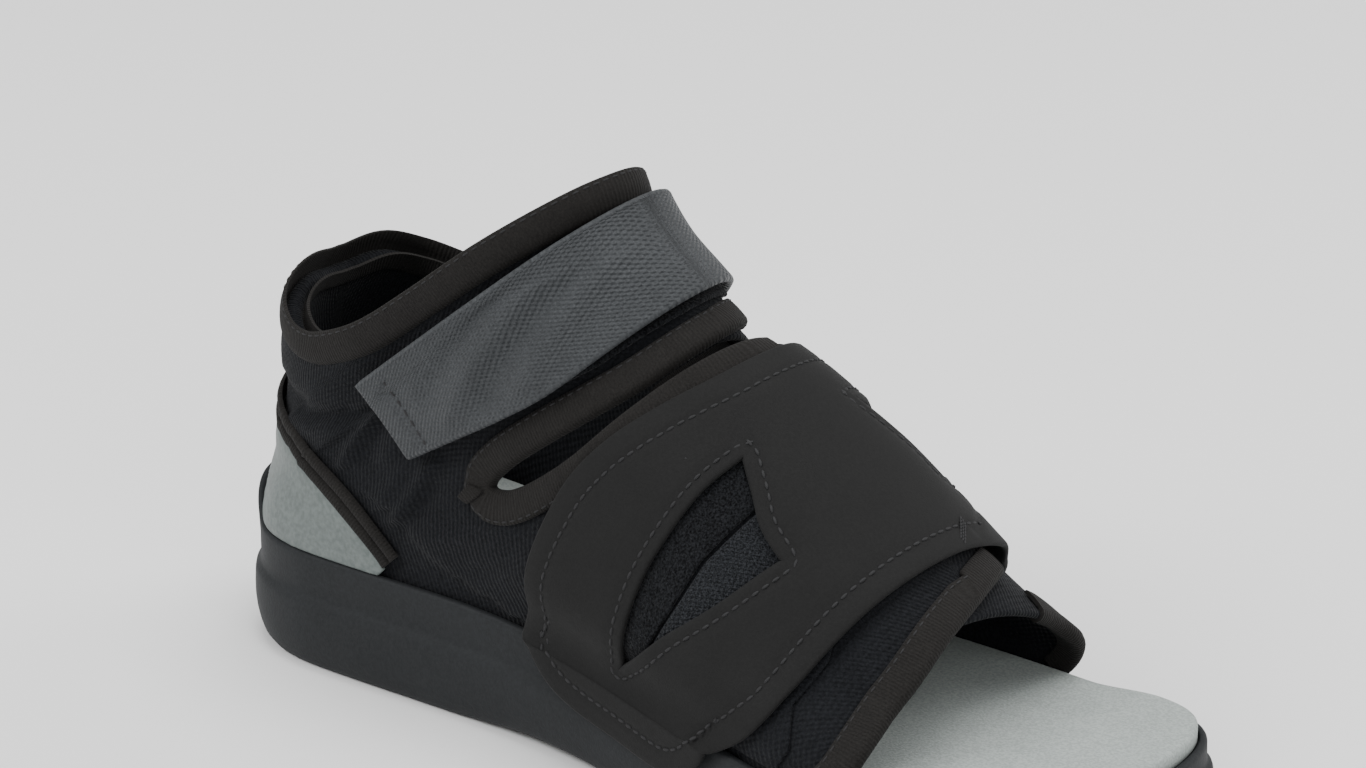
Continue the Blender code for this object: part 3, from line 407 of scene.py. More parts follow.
groove_shell = bmesh.new()
heel_to_toe = np.argsort(LATERAL_HALF[:, 0])
for run_low, run_high in GROOVE_RUNS:
    for groove in range(int((run_high - run_low) * LENGTH / GROOVE_PITCH) + 1):
        groove_x = run_low * LENGTH + groove * GROOVE_PITCH
        near = np.interp(groove_x, *LATERAL_HALF[heel_to_toe].T) + GROOVE_MARGIN
        far = np.interp(groove_x, *MEDIAL_HALF[heel_to_toe].T) - GROOVE_MARGIN
        block = bmesh.ops.create_cube(groove_shell, size=1)["verts"]
        depth = 2 * (bottom_height(groove_x) + GROOVE_DEPTH)
        bmesh.ops.scale(groove_shell, verts=block, vec=(GROOVE_WIDTH, far - near, depth))
        middle = Vector((groove_x, (near + far) / 2, 0)) + Vector(SHIFT)
        bmesh.ops.translate(groove_shell, verts=block, vec=middle)
groove_mesh = bpy.data.meshes.new("grooves")
groove_shell.to_mesh(groove_mesh)
groove_shell.free()
groove_cutter = bpy.data.objects.new("grooves", groove_mesh)
bpy.context.scene.collection.objects.link(groove_cutter)
groove_cut = sole.modifiers.new("grooves", "BOOLEAN")
groove_cut.operation = "DIFFERENCE"
groove_cut.object = groove_cutter
bpy.context.view_layer.update()
sole.data = bpy.data.meshes.new_from_object(sole.evaluated_get(bpy.context.evaluated_depsgraph_get()))
sole.modifiers.clear()
bpy.data.objects.remove(groove_cutter)

# Insole
# A flat sheet of grey foam with a fine nap and a rounded edge. It fills the rim at the open toe
# and lies inside the upper along the foot.
INSOLE_THICK = 0.005
GAP = 0.0003
LAYER_GAP = 0.0004
WALL = 0.0022
RIM_GAP = 0.0006
INSOLE_GAP = 0.0019
INSOLE_ROUND = 0.0013
INSOLE_LOW_ROUND = 0.0006
INSOLE_LOW_MARGIN = 0.003
INSOLE_TOP_MARGIN = 0.006
FEATHER = RIM_WIDTH + RIM_GAP + WALL

napped, napped_tree, napped_shader = new_material("insole_foam", 0.9, sheen=0.03, specular=0.12)
napped_place = mottled(napped_tree, napped_shader, (0.22, 0.245, 0.235), (0.36, 0.39, 0.375), 60.0, 1400.0,
                       0.55)
bumped(napped_tree, napped_shader, noise(napped_tree, napped_place, 1800.0), 0.35, 0.0004)

insole_front = smooth(OUTLINE[:, 0], 0.84 * LENGTH, 0.91 * LENGTH)
insole_inset = (FEATHER + INSOLE_GAP) * (1 - insole_front) + (RIM_WIDTH + LAYER_GAP) * insole_front
insole_rings = [ring_at(insole_inset + INSOLE_LOW_MARGIN, lambda x: seat_height(x) + GAP)]
insole_rings.append(ring_at(insole_inset + INSOLE_LOW_ROUND, lambda x: seat_height(x) + GAP))
insole_rings.append(ring_at(insole_inset, lambda x: seat_height(x) + GAP + INSOLE_LOW_ROUND))
for quarter in np.linspace(0, np.pi / 2, 6):
    insole_rings.append(ring_at(insole_inset + INSOLE_ROUND * (1 - np.cos(quarter)), lambda x: (
        seat_height(x) + GAP + INSOLE_THICK - INSOLE_ROUND * (1 - np.sin(quarter)))))
insole_rings.append(ring_at(insole_inset + INSOLE_TOP_MARGIN, lambda x: seat_height(x) + GAP + INSOLE_THICK))
finished("foam_insole", np.vstack(insole_rings), ring_faces(len(insole_rings)), napped, ["insole"])

# Upper
# One textile upper on the last: sections from the toe round the instep to the ankle, its lateral flaps
# lapped over the medial ones. The quarter is loop knit, the collar is padded and creased below its pad.
INSTEP_HEIGHT = 0.102
COLLAR_HEIGHT = 0.142
ANKLE_WIDTH = 0.066
BACK_RISE = 0.080
WALL_RISE = 0.020
COLLAR_PAD = 0.0030
ANKLE_REACH = 0.13
LATERAL_REACH = 0.25
MEDIAL_REACH = 0.20
FLAP_TUCK = (0.30, 0.45)
CLOTH_STEP = 0.0024
EDGE_STEP = 0.0016
# Length of one u and of one w on the shoe, about
U_LENGTH = 0.230
W_LENGTH = 0.125
# Columns: place, crest along the length, crest height in instep heights, sideways shift and lateral and
# medial half widths in ball widths, height share of the widest point, powers of the curve over and under it
FOOT_ROWS = (
    (0.00, 0.986, 0.265, 0.046, 0.426, 0.407, 0.10, 2.10, 3.0),
    (0.12, 0.902, 0.397, 0.046, 0.435, 0.417, 0.10, 2.10, 3.0),
    (0.26, 0.790, 0.588, 0.046, 0.430, 0.407, 0.12, 2.10, 3.0),
    (0.40, 0.681, 0.828, 0.037, 0.398, 0.380, 0.15, 2.10, 3.0),
    (0.54, 0.587, 1.000, 0.028, 0.352, 0.343, 0.20, 2.05, 3.0),
)
# The same columns, with heights in collar heights and widths in ankle widths
ANKLE_ROWS = (
    (0.68, 0.521, 0.775, 0.030, 0.523, 0.515, 0.26, 2.05, 2.4),
    (0.82, 0.472, 0.842, 0.030, 0.508, 0.500, 0.32, 2.05, 2.2),
    (0.92, 0.444, 0.891, 0.015, 0.500, 0.492, 0.36, 2.05, 2.1),
    (1.00, 0.423, 0.933, 0.015, 0.500, 0.492, 0.38, 2.05, 2.0),
    (1.25, 0.402, 1.000, 0.000, 0.500, 0.492, 0.42, 2.05, 2.0),
    (1.50, 0.385, 1.063, 0.000, 0.500, 0.492, 0.44, 2.05, 2.0),
    (1.75, 0.371, 1.134, 0.000, 0.500, 0.492, 0.46, 2.05, 2.0),
    (2.00, 0.360, 1.211, 0.000, 0.500, 0.492, 0.48, 2.05, 2.0),
)
# Columns: place past 1, lean forward and rise, both in back rises
BACK_ROWS = (
    (0.00, 0.000, 0.000),
    (0.10, 0.000, 0.080),
    (0.25, 0.000, 0.200),
    (0.50, 0.044, 0.450),
    (0.75, 0.100, 0.720),
    (1.00, 0.250, 0.970),
    (1.25, 0.420, 1.200),
)
# Edges as (u, w): u runs from the toe to the heel and on up the leg, w is 0 on the crest and 1 at the sole
# or the back seam. They are for one side and are mirrored for the other.
COLLAR_EDGE = (
    (1.83, 1.00),
    (1.81, 0.90),
    (1.68, 0.80),
    (1.50, 0.69),
    (1.36, 0.58),
    (1.27, 0.47),
    (1.24, 0.34),
    (1.23, 0.20),
    (1.19, 0.06),
    (1.17, 0.00),
)
SLOT_EDGE = (
    (0.675, 0.00),
    (0.668, 0.10),
    (0.670, 0.20),
    (0.685, 0.30),
    (0.702, 0.40),
    (0.715, 0.50),
    (0.712, 0.58),
    (0.690, 0.61),
    (0.664, 0.59),
    (0.645, 0.52),
    (0.632, 0.42),
    (0.627, 0.28),
    (0.622, 0.14),
    (0.612, 0.00),
)
LATERAL_FRONT = (
    (0.262, 0.20),
    (0.250, 0.04),
    (0.230, -0.17),
    (0.203, -0.38),
    (0.185, -0.53),
    (0.163, -0.68),
    (0.138, -0.84),
    (0.120, -1.00),
)
MEDIAL_FRONT = (
    (0.240, -0.18),
    (0.230, 0.06),
    (0.212, 0.28),
    (0.192, 0.46),
    (0.165, 0.62),
    (0.140, 0.80),
    (0.120, 1.00),
)
# Creases and wrinkles. Columns: height, half width, then the line on the lateral side
CREASES = (
    (-0.0024, 0.0034, ((1.46, -0.80), (1.32, -0.73), (1.17, -0.65), (1.09, -0.60), (1.02, -0.55),
                       (0.96, -0.46))),
    (0.0016, 0.0060, ((1.00, -0.60), (1.10, -0.66), (1.25, -0.76))),
    (0.0017, 0.0022, ((0.90, -0.70), (0.918, -0.654), (0.943, -0.585), (0.955, -0.53))),
    (-0.0010, 0.0026, ((0.88, -0.66), (0.905, -0.60), (0.930, -0.53))),
    (0.0008, 0.0026, ((0.855, -0.64), (0.880, -0.58))),
    (0.0017, 0.0022, ((0.765, -0.80), (0.770, -0.73), (0.785, -0.66), (0.798, -0.60))),
    (-0.0010, 0.0026, ((0.745, -0.80), (0.750, -0.73), (0.765, -0.66))),
    (0.0008, 0.0026, ((0.80, -0.78), (0.81, -0.71), (0.825, -0.65))),
    (-0.0006, 0.0035, ((0.66, -0.90), (0.62, -0.84), (0.60, -0.76))),
    (0.0006, 0.0035, ((0.70, -0.80), (0.66, -0.74), (0.635, -0.68))),
)
# Folded edge of the quarter over the rear panel, running down to the sole
QUARTER_STEP = 0.0014
QUARTER_LINE = ((0.80, -0.765), (0.759, -0.797), (0.70, -0.862), (0.64, -0.912), (0.55, -0.965))


def feather_half(side):
    ring = inset_ring(OUTLINE, FEATHER)
    half = ring[:HALF] if side < 0 else np.vstack([ring[:1], ring[:HALF - 2:-1]])
    half = np.abs(half[half[:, 0] <= 0.91 * LENGTH])
    half[-1, 1] = 0
    return half


def feather_point(side, u):
    half = FEATHER_LINE[side]
    run = np.concatenate([[0], np.cumsum(np.linalg.norm(np.diff(half, axis=0), axis=1))])
    return [np.interp(u * run[-1], run, half[:, k]) for k in (0, 1)]


def feather_width(side, x):
    half = FEATHER_LINE[side][::-1]
    return np.interp(x, half[:, 0], half[:, 1])


def last_rows():
    rows = []
    parts = ((FOOT_ROWS, INSTEP_HEIGHT, BALL_WIDTH), (ANKLE_ROWS, COLLAR_HEIGHT, ANKLE_WIDTH))
    for table, height, width in parts:
        for u, x, z, shift, outer, inner, *curve in table:
            rows.append((u, x * LENGTH, z * height, shift * width, outer * width, inner * width, *curve))
    return rows


SECTION = natural_spline(last_rows())
BACK = natural_spline(BACK_ROWS)
FEATHER_LINE = {-1: feather_half(-1), 1: feather_half(1)}
U_GRID = np.linspace(0, 2, 201)
W_GRID = np.linspace(-1, 1, 241)


def half_section(u, side, w):
    """Half of one section, from the crest at w = 0 to the sole or back seam at w = 1."""
    crest_x, crest_z, shift, outer, inner, wide, over, under = SECTION(u)
    width = outer if side < 0 else inner
    if u <= 1:
        base_x, base_y = feather_point(side, u)
        base_z = seat_height(base_x) + GAP
    else:
        lean, rise = BACK(u - 1) * BACK_RISE
        base_x, base_y, base_z = FEATHER + lean, 0.0, HEEL_SEAT + GAP + rise
    width = max(width, base_y)
    tuck = 1 - (base_y / width) ** under
    turn = np.linspace(0, np.pi / 2, 180)
    up = wide + (1 - wide) * np.cos(turn) ** (2 / over)
    out = width * np.sin(turn) ** (2 / over)
    low = np.sin(turn[1:])
    up = np.concatenate([up, wide * (1 - low)])
    out = np.concatenate([out, width * (1 - tuck * low ** under) ** (1 / under)])
    x = base_x + (crest_x - base_x) * up
    z = base_z + (crest_z - base_z) * up
    bulge = smooth(z - rim_height(x), 0.001, WALL_RISE)
    out = out * bulge + feather_width(side, x) * (1 - bulge)
    points = np.stack([x, side * out + shift * up * bulge, z], 1)
    run = np.concatenate([[0], np.cumsum(np.linalg.norm(np.diff(points, axis=0), axis=1))])
    return np.stack([np.interp(w * run[-1], run, points[:, k]) for k in range(3)], 1)


def last_grid():
    half = W_GRID[W_GRID >= 0]
    grid = np.array([np.vstack([half_section(u, -1, half)[::-1], half_section(u, 1, half)[1:]])
                     for u in U_GRID])
    normal = np.cross(np.gradient(grid, axis=0), np.gradient(grid, axis=1))
    if ((grid - np.array([0.5 * LENGTH, 0, 0.5 * INSTEP_HEIGHT])) * normal).sum() < 0:
        normal = -normal
    for _ in range(14):
        wide = np.pad(normal, ((1, 1), (1, 1), (0, 0)), "edge")
        normal = (normal + wide[2:, 1:-1] + wide[:-2, 1:-1] + wide[1:-1, 2:] + wide[1:-1, :-2]) / 5
    normal /= np.maximum(np.linalg.norm(normal, axis=2), 1e-12)[..., None]
    for side, column in ((-1, 0), (1, -1)):
        along = np.gradient(grid[U_GRID <= 1, column], axis=0)
        level = np.stack([along[:, 1], -along[:, 0], 0 * along[:, 0]], 1) * side
        level /= np.linalg.norm(level, axis=1)[:, None]
        level[-1] = -1, 0, 0
        end = np.vstack([level, normal[U_GRID > 1, column] * (1, 0, 1)])[:, None]
        share = smooth(side * W_GRID, 0.72, 1.0)[None, :, None]
        normal = normal * (1 - share) + end * share
    normal /= np.maximum(np.linalg.norm(normal, axis=2), 1e-12)[..., None]
    return grid, normal


GRID, NORMAL = last_grid()
ALONG = np.cumsum(np.linalg.norm(np.diff(GRID, axis=0, prepend=GRID[:1]), axis=2), 0)
ACROSS = np.cumsum(np.linalg.norm(np.diff(GRID, axis=1, prepend=GRID[:, :1]), axis=2), 1)
ACROSS -= ACROSS[:, [len(W_GRID) // 2]]
METRES = np.stack([ACROSS, ALONG], 2)


def sample(field, u, w):
    """Field of the grid between its points."""
    i = np.clip(np.asarray(u, float) / (U_GRID[1] - U_GRID[0]), 0, len(U_GRID) - 1.000001)
    j = np.clip((np.asarray(w, float) + 1) / (W_GRID[1] - W_GRID[0]), 0, len(W_GRID) - 1.000001)
    i0, j0 = i.astype(int), j.astype(int)
    a, b = (i - i0)[..., None], (j - j0)[..., None]
    near = field[i0, j0] * (1 - b) + field[i0, j0 + 1] * b
    far = field[i0 + 1, j0] * (1 - b) + field[i0 + 1, j0 + 1] * b
    return near * (1 - a) + far * a


def on_last(u, w, lift):
    return sample(GRID, u, w) + sample(NORMAL, u, w) * np.asarray(lift)[..., None]


def through(points, count=12):
    """Rounded curve through given points, ends kept."""
    p = np.array(points, float)
    p = np.vstack([2 * p[0] - p[1], p, 2 * p[-1] - p[-2]])
    curve = []
    for a, b, c, d in zip(p, p[1:], p[2:], p[3:]):
        t = np.linspace(0, 1, count, endpoint=False)[:, None]
        curve.append(0.5 * (2 * b + (c - a) * t + (2 * a - 5 * b + 4 * c - d) * t ** 2
                            + (3 * b - a - 3 * c + d) * t ** 3))
    return np.vstack(curve + [p[-2:-1]])


def by_length(curve, step, place=on_last):
    point = place(curve[:, 0], curve[:, 1], np.zeros(len(curve)))
    run = np.concatenate([[0], np.cumsum(np.linalg.norm(np.diff(point, axis=0), axis=1))])
    goal = np.linspace(0, run[-1], max(2, int(round(run[-1] / step)) + 1))
    return np.stack([np.interp(goal, run, curve[:, k]) for k in (0, 1)], 1)


def edge(points, step=EDGE_STEP):
    return by_length(through(points), step)


def mirrored(points, side):
    return [(u, side * w) for u, w in points]


def straight_run(low, high, w, step=EDGE_STEP):
    return by_length(np.array([(low, w), (high, w)]), step)


def line_distance(u, w, line):
    """Distance in metres, about, from an open line given as (u, w)."""
    place = np.stack([np.asarray(u) * U_LENGTH, np.asarray(w) * W_LENGTH], -1)
    curve = through(line, 6) * (U_LENGTH, W_LENGTH)
    best = np.full(place.shape[:-1], 1e9)
    for a, b in zip(curve, curve[1:]):
        t = np.clip(((place - a) @ (b - a)) / max((b - a) @ (b - a), 1e-18), 0, 1)
        best = np.minimum(best, np.linalg.norm(place - a - t[..., None] * (b - a), axis=-1))
    return best


def ridges(u, w, rows):
    """Height of soft ridges and troughs. Each row gives a height, a half width and a line."""
    height = np.zeros(np.shape(u))
    for depth, width, line in rows:
        height += depth * np.exp(-(line_distance(u, w, line) / width) ** 2)
    return height


def creased(u, w):
    """Height that the creases and the folded quarter edge add."""
    height = ridges(u, w, CREASES)
    near = line_distance(u, w, QUARTER_LINE)
    side = np.interp(u, [row[0] for row in QUARTER_LINE[::-1]], [row[1] for row in QUARTER_LINE[::-1]])
    over = np.where(np.asarray(w) > side, 1.0, 0.0)
    return height + QUARTER_STEP * over * np.exp(-(near / 0.009) ** 2)


def collar_swell(u, w):
    w = np.abs(w)
    crease = 1.05 + 0.45 * smooth(w, 0.60, 0.95)
    return COLLAR_PAD * smooth(u, crease, crease + 0.25) * smooth(w, 0.34, 0.55)


def lap(w):
    w = np.asarray(w, float)
    return (WALL + LAYER_GAP) * smooth(w, -0.62, -0.24) * (1 - smooth(w, *FLAP_TUCK))


def lateral_outer(u, w):
    return lap(w) + WALL + collar_swell(u, w)


def medial_outer(u, w):
    return WALL + collar_swell(u, w)


def inside_polygon(point, polygon):
    inside = np.zeros(len(point), bool)
    for (ax, ay), (bx, by) in zip(polygon, np.roll(polygon, -1, 0)):
        if ay != by:
            cross = (ay > point[:, 1]) != (by > point[:, 1])
            inside ^= cross & (point[:, 0] < (bx - ax) * (point[:, 1] - ay) / (by - ay) + ax)
    return inside


def near_polygon(point, polygon, reach):
    """Which points lie within reach of a closed line."""
    near = np.zeros(len(point), bool)
    for a, b in zip(polygon, np.roll(polygon, -1, 0)):
        t = np.clip(((point - a) @ (b - a)) / max((b - a) @ (b - a), 1e-18), 0, 1)
        near |= ((point - a - t[:, None] * (b - a)) ** 2).sum(1) < reach * reach
    return near


def triangulated(loops, step, lowest=-1.0):
    """Even triangles over a region in (u, w): an outer loop and any holes."""
    scale = np.array([U_LENGTH, W_LENGTH])
    loops = [np.array(loop) for loop in loops]
    flat = [loop * scale for loop in loops]
    low, high = flat[0].min(0), flat[0].max(0)
    rows = np.arange(low[0], high[0], step * 0.87)
    grid = []
    for k, row in enumerate(rows):
        line = np.arange(low[1] + 0.5 * step * (k % 2), high[1], step)
        grid.append(np.stack([np.full_like(line, row), line], 1))
    inner = np.vstack(grid)
    keep = inside_polygon(inner, flat[0]) & ~near_polygon(inner, flat[0], 0.6 * step)
    for loop in flat[1:]:
        keep &= ~inside_polygon(inner, loop) & ~near_polygon(inner, loop, 0.6 * step)
    points = np.vstack(flat + [inner[keep]])
    links = []
    start = 0
    for loop in flat:
        links += [(start + i, start + (i + 1) % len(loop)) for i in range(len(loop))]
        start += len(loop)
    made = delaunay_2d_cdt([Vector(p) for p in points], links, [], 0, 1e-9)
    first = [names[0] for names in made[3]]
    faces = np.array([[first[i] for i in face] for face in made[2]])
    middle = points[faces].mean(1)
    keep = inside_polygon(middle, flat[0])
    for loop in flat[1:]:
        keep &= ~inside_polygon(middle, loop)
    sides = points[faces][:, 1:] - points[faces][:, :1]
    keep &= np.abs(sides[:, 0, 0] * sides[:, 1, 1] - sides[:, 0, 1] * sides[:, 1, 0]) > 1e-9
    return points / scale, faces[keep]


def cloth(name, patches, material, replaced=(), step=CLOTH_STEP, rounding=1.0):
    """Closed solid of cloth from patches (loops, inner height, outer height, place), with rounded edges."""
    low, high, uv, faces, key = [], [], [], [], {}
    for loops, inner, outer, place in patches:
        flat, made = triangulated(loops, step)
        u, w = flat[:, 0], flat[:, 1]
        low_points = place(u, w, inner(u, w))
        high_points = place(u, w, outer(u, w))
        metres = sample(METRES, u, w)
        index = np.full(len(flat), -1)
        for i in np.unique(made):
            seam = abs(w[i]) > 0.99999 and u[i] > 0.99999
            name_of = ("seam", round(float(u[i]), 4)) if seam else ("point", len(low))
            if name_of not in key:
                key[name_of] = len(low)
                low.append(low_points[i])
                high.append(high_points[i])
                uv.append(metres[i])
            index[i] = key[name_of]
        faces.append(index[made])
    low, high, faces = np.array(low), np.array(high), np.vstack(faces)
    count = len(low)
    pairs = np.vstack([faces[:, [0, 1]], faces[:, [1, 2]], faces[:, [2, 0]]])
    code = np.sort(pairs, 1) @ np.array([count, 1])
    _, where, uses = np.unique(code, return_index=True, return_counts=True)
    border = pairs[where[uses == 1]]
    middle, half = (low + high) / 2, (high - low) / 2
    outward = np.zeros_like(low)
    run = middle[border[:, 1]] - middle[border[:, 0]]
    turned = np.cross(run, half[border[:, 0]])
    third = {}
    for face in faces:
        for a, b, c in ((0, 1, 2), (1, 2, 0), (2, 0, 1)):
            third[int(face[a]), int(face[b])] = int(face[c])
    opposite = np.array([third[int(a), int(b)] for a, b in border])
    facing = ((middle[opposite] - middle[border[:, 0]]) * turned).sum(1)
    turned *= np.where(facing > 0, -1, 1)[:, None]
    np.add.at(outward, border[:, 0], turned)
    np.add.at(outward, border[:, 1], turned)
    outward /= np.maximum(np.linalg.norm(outward, axis=1), 1e-12)[:, None]
    edge_points = np.unique(border)
    slot_of = np.full(count, -1)
    slot_of[edge_points] = np.arange(len(edge_points))
    points, all_uv = [high, low], [uv, uv]
    turns = np.radians((45, 90, 135))
    for turn in turns:
        reach = np.linalg.norm(half[edge_points], axis=1)[:, None] * rounding * np.sin(turn)
        points.append(middle[edge_points] + half[edge_points] * np.cos(turn) + outward[edge_points] * reach)
        all_uv.append(np.array(uv)[edge_points])
    levels = [np.arange(count)] + [2 * count + k * len(edge_points) + slot_of for k in range(3)] + [
        count + np.arange(count)]
    a, b = border[:, 0], border[:, 1]
    quads = [np.stack([upper[a], upper[b], lower[b], lower[a]], 1)
             for upper, lower in zip(levels, levels[1:])]
    all_faces = faces.tolist() + (faces[:, ::-1] + count).tolist() + np.vstack(quads).tolist()
    return finished(name, np.vstack(points), all_faces, material, replaced, np.vstack(all_uv), 75)


def upper_loop(side, front, reach, fore_reach):
    """Outline of one half of the upper on the last."""
    top = COLLAR_EDGE[0][0]
    base = np.vstack([straight_run(front[-1][0], 1.0, side)[:-1], straight_run(1.0, top, side)])
    collar = edge(mirrored(COLLAR_EDGE, side) + [(COLLAR_EDGE[-1][0], -side * reach)])
    rear = [(SLOT_EDGE[0][0] + 0.03, -side * reach)] + mirrored(SLOT_EDGE, side)
    opening = edge(rear + [(SLOT_EDGE[-1][0] - 0.015, -side * fore_reach)])
    toe = edge(front)
    flap = edge([tuple(collar[-1]), tuple(opening[0])])
    tail = edge([tuple(opening[-1]), tuple(toe[0])])
    return np.vstack([base, collar[1:], flap[1:-1], opening, tail[1:-1], toe[:-1]])


def lined(function, extra):
    return lambda u, w: function(u, w) + extra


def waves(tree, place, pitch_x, pitch_y):
    """Rows of rounded bumps on the piece's own map, at the given pitches in metres."""
    split = node(tree, "ShaderNodeSeparateXYZ", {"Vector": place})
    both = []
    for axis, pitch in ((0, pitch_x), (1, pitch_y)):
        turns = product(tree, split.outputs[axis], math.pi / pitch)
        both.append(node(tree, "ShaderNodeMath", {0: turns}, operation="SINE").outputs[0])
    return both


def product(tree, a, b):
    return node(tree, "ShaderNodeMath", {0: a, 1: b}, operation="MULTIPLY").outputs[0]


def distorted(tree, place, amount, scale):
    """Coordinates shaken a little, so that rows of loops aren't ruled."""
    shake = node(tree, "ShaderNodeTexNoise", {"Vector": place, "Scale": scale, "Detail": 1.0})
    middle = node(tree, "ShaderNodeVectorMath", {0: shake.outputs["Color"], 1: (0.5, 0.5, 0.5)},
                  operation="SUBTRACT")
    scaled = node(tree, "ShaderNodeVectorMath", {0: middle.outputs[0]}, operation="SCALE")
    scaled.inputs["Scale"].default_value = amount
    return node(tree, "ShaderNodeVectorMath", {0: place, 1: scaled.outputs[0]}, operation="ADD").outputs[0]


KNIT_PITCH = 0.0013
knit, knit_tree, knit_shader = new_material("loop_knit", 0.85, sheen=0.04, specular=0.09)
knit_place = mottled(knit_tree, knit_shader, (0.0022, 0.0025, 0.0032), (0.0105, 0.0113, 0.0135), 70.0,
                     1500.0, 0.6)
knit_map = distorted(knit_tree, node(knit_tree, "ShaderNodeTexCoord").outputs["UV"], 0.0006, 500.0)
knit_rows = waves(knit_tree, knit_map, KNIT_PITCH, KNIT_PITCH * 0.8)
bumped(knit_tree, knit_shader, product(knit_tree, *knit_rows), 0.40, 0.0005)
bumped(knit_tree, knit_shader, noise(knit_tree, knit_place, 2200.0), 0.45, 0.0005)


def lateral_wall(u, w):
    return lateral_outer(u, w) + creased(u, w)


def lateral_lining(u, w):
    return lap(w) + creased(u, w)


def flat_lift(u, w):
    return np.zeros_like(u)


upper = cloth("textile_upper", (
    ([upper_loop(-1, LATERAL_FRONT, ANKLE_REACH, LATERAL_REACH)], lateral_lining, lateral_wall, on_last),
    ([upper_loop(1, MEDIAL_FRONT, ANKLE_REACH, MEDIAL_REACH)], flat_lift, medial_outer, on_last),
), knit, ["upper"])

# Heel counter
# A smooth moulded skin round the back of the heel, thin and slightly mottled, tucked behind the sole's lip
# and under the doubled tape.
COUNTER_GAP = 0.0009
COUNTER_THICK = 0.0013
LIP_GAP = 0.0006
COUNTER_TOP = 0.45
# Columns: share of the length, height over the seat in back rises
COUNTER_EDGE = (
    (0.247, -0.02),
    (0.223, 0.08),
    (0.192, 0.17),
    (0.160, 0.24),
    (0.120, 0.31),
    (0.075, 0.38),
    (0.032, 0.43),
)


def nearest(goal, start, sides, axes=(0, 1, 2), lift=0.0):
    """Places (u, w) nearest to the goals on the last, or over it at a lift, on the given sides."""
    axes = list(axes)
    u, w = start[:, 0].copy(), start[:, 1].copy()
    reach_u, reach_w = 0.10, 0.20
    rows = np.arange(len(u))
    for _ in range(16):
        near_u = np.clip(u[:, None] + reach_u * np.linspace(-1, 1, 7), 0, 2)
        near_w = w[:, None] + reach_w * np.linspace(-1, 1, 7)
        near_w = sides[:, None] * np.clip(sides[:, None] * near_w, 0, 1)
        tries_u = np.repeat(near_u, 7, axis=1)
        tries_w = np.tile(near_w, (1, 7))
        high = lateral_outer(tries_u, tries_w) + lift if lift else np.zeros_like(tries_u)
        gap = np.linalg.norm(on_last(tries_u, tries_w, high)[..., axes] - goal[:, None], axis=2)
        best = np.argmin(gap, axis=1)
        u, w = tries_u[rows, best], tries_w[rows, best]
        reach_u, reach_w = 0.62 * reach_u, 0.62 * reach_w
    return np.stack([u, w], 1)


def counter_edge(side):
    profile = through(COUNTER_EDGE, 5)
    goal = np.stack([profile[:, 0] * LENGTH, HEEL_SEAT + profile[:, 1] * BACK_RISE], 1)
    start = np.stack([np.linspace(0.72, 1.40, len(goal)), np.linspace(-1.0, -0.8, len(goal)) * -side], 1)
    for _ in range(2):
        start = nearest(goal, start, np.full(len(goal), side), (0, 2))
    back = np.interp(COUNTER_TOP, [row[2] for row in BACK_ROWS], [1 + row[0] for row in BACK_ROWS])
    return by_length(np.vstack([start, (back, side)]), EDGE_STEP)


def rim_crossing(u, side, lift):
    w = np.linspace(0.5, 1.0, 401)
    point = on_last(np.full_like(w, u), side * w, np.full_like(w, lift))
    clear = point[:, 2] > rim_height(point[:, 0]) + LIP_GAP
    return side * w[clear].max() if clear.any() else side * 0.5


skin, skin_tree, skin_shader = new_material("counter_skin", 0.52, specular=0.25)
skin_place = mottled(skin_tree, skin_shader, (0.074, 0.088, 0.085), (0.144, 0.165, 0.158), 90.0, 700.0,
                     0.45)
bumped(skin_tree, skin_shader, noise(skin_tree, skin_place, 600.0), 0.18, 0.0004)

counter_patches = []
counter_lift = WALL + COUNTER_GAP + COUNTER_THICK
for side in (-1, 1):
    back_u = np.linspace(1.0, 1.4, 801)
    back_point = on_last(back_u, np.full_like(back_u, float(side)), np.full_like(back_u, counter_lift))
    seam_u = back_u[back_point[:, 2] > rim_height(back_point[:, 0]) + LIP_GAP].min()
    top = counter_edge(side)
    crossing = np.array([rim_crossing(u, side, counter_lift) if u < seam_u else side for u in top[:, 0]])
    top = top[np.abs(top[:, 1]) < np.abs(crossing) - 0.01 * (top[:, 0] < seam_u)]
    low_u = np.arange(top[0, 0], seam_u - 0.003, 0.008)
    low_edge = np.array([(u, rim_crossing(u, side, counter_lift)) for u in low_u])
    seam = straight_run(seam_u, top[-1, 0], side)
    counter_patches.append(([np.vstack([low_edge, seam, top[-2::-1]])], lined(lateral_outer, COUNTER_GAP),
                            lined(lateral_outer, COUNTER_GAP + COUNTER_THICK), on_last))
cloth("heel_counter_skin", counter_patches, skin, ["heel_counter"])

# Bindings
# Ribbed tape folded over the cut edges of the upper and stitched through: one round the collar, two round
# the slots, two on the front edges of the forefoot flaps, and a doubled flat tape on the counter's edge.
BINDING_THICK = 0.0008
BINDING_WIDTH = 0.0072
COUNTER_BINDING_WIDTH = 0.0075
RIB_PITCH = 0.0009
WRAP = 0.0010
LINING_WIDTH = 0.0050
CROWN_RISE = 0.0003
FOLD_GAP = 0.0003


def inward(curve, width, turn):
    """The curve moved across the surface by a width, to the side given by turn."""
    point = on_last(curve[:, 0], curve[:, 1], np.zeros(len(curve)))
    across = np.cross(sample(NORMAL, curve[:, 0], curve[:, 1]), np.gradient(point, axis=0)) * turn
    across /= np.linalg.norm(across, axis=1)[:, None]
    goal = point + across * width
    sides = np.where(curve[:, 1] < 0, -1, 1)
    sides = np.where(np.abs(curve[:, 1]) < 0.3, np.where(goal[:, 1] < 0, -1, 1), sides)
    return nearest(goal, curve, sides), across


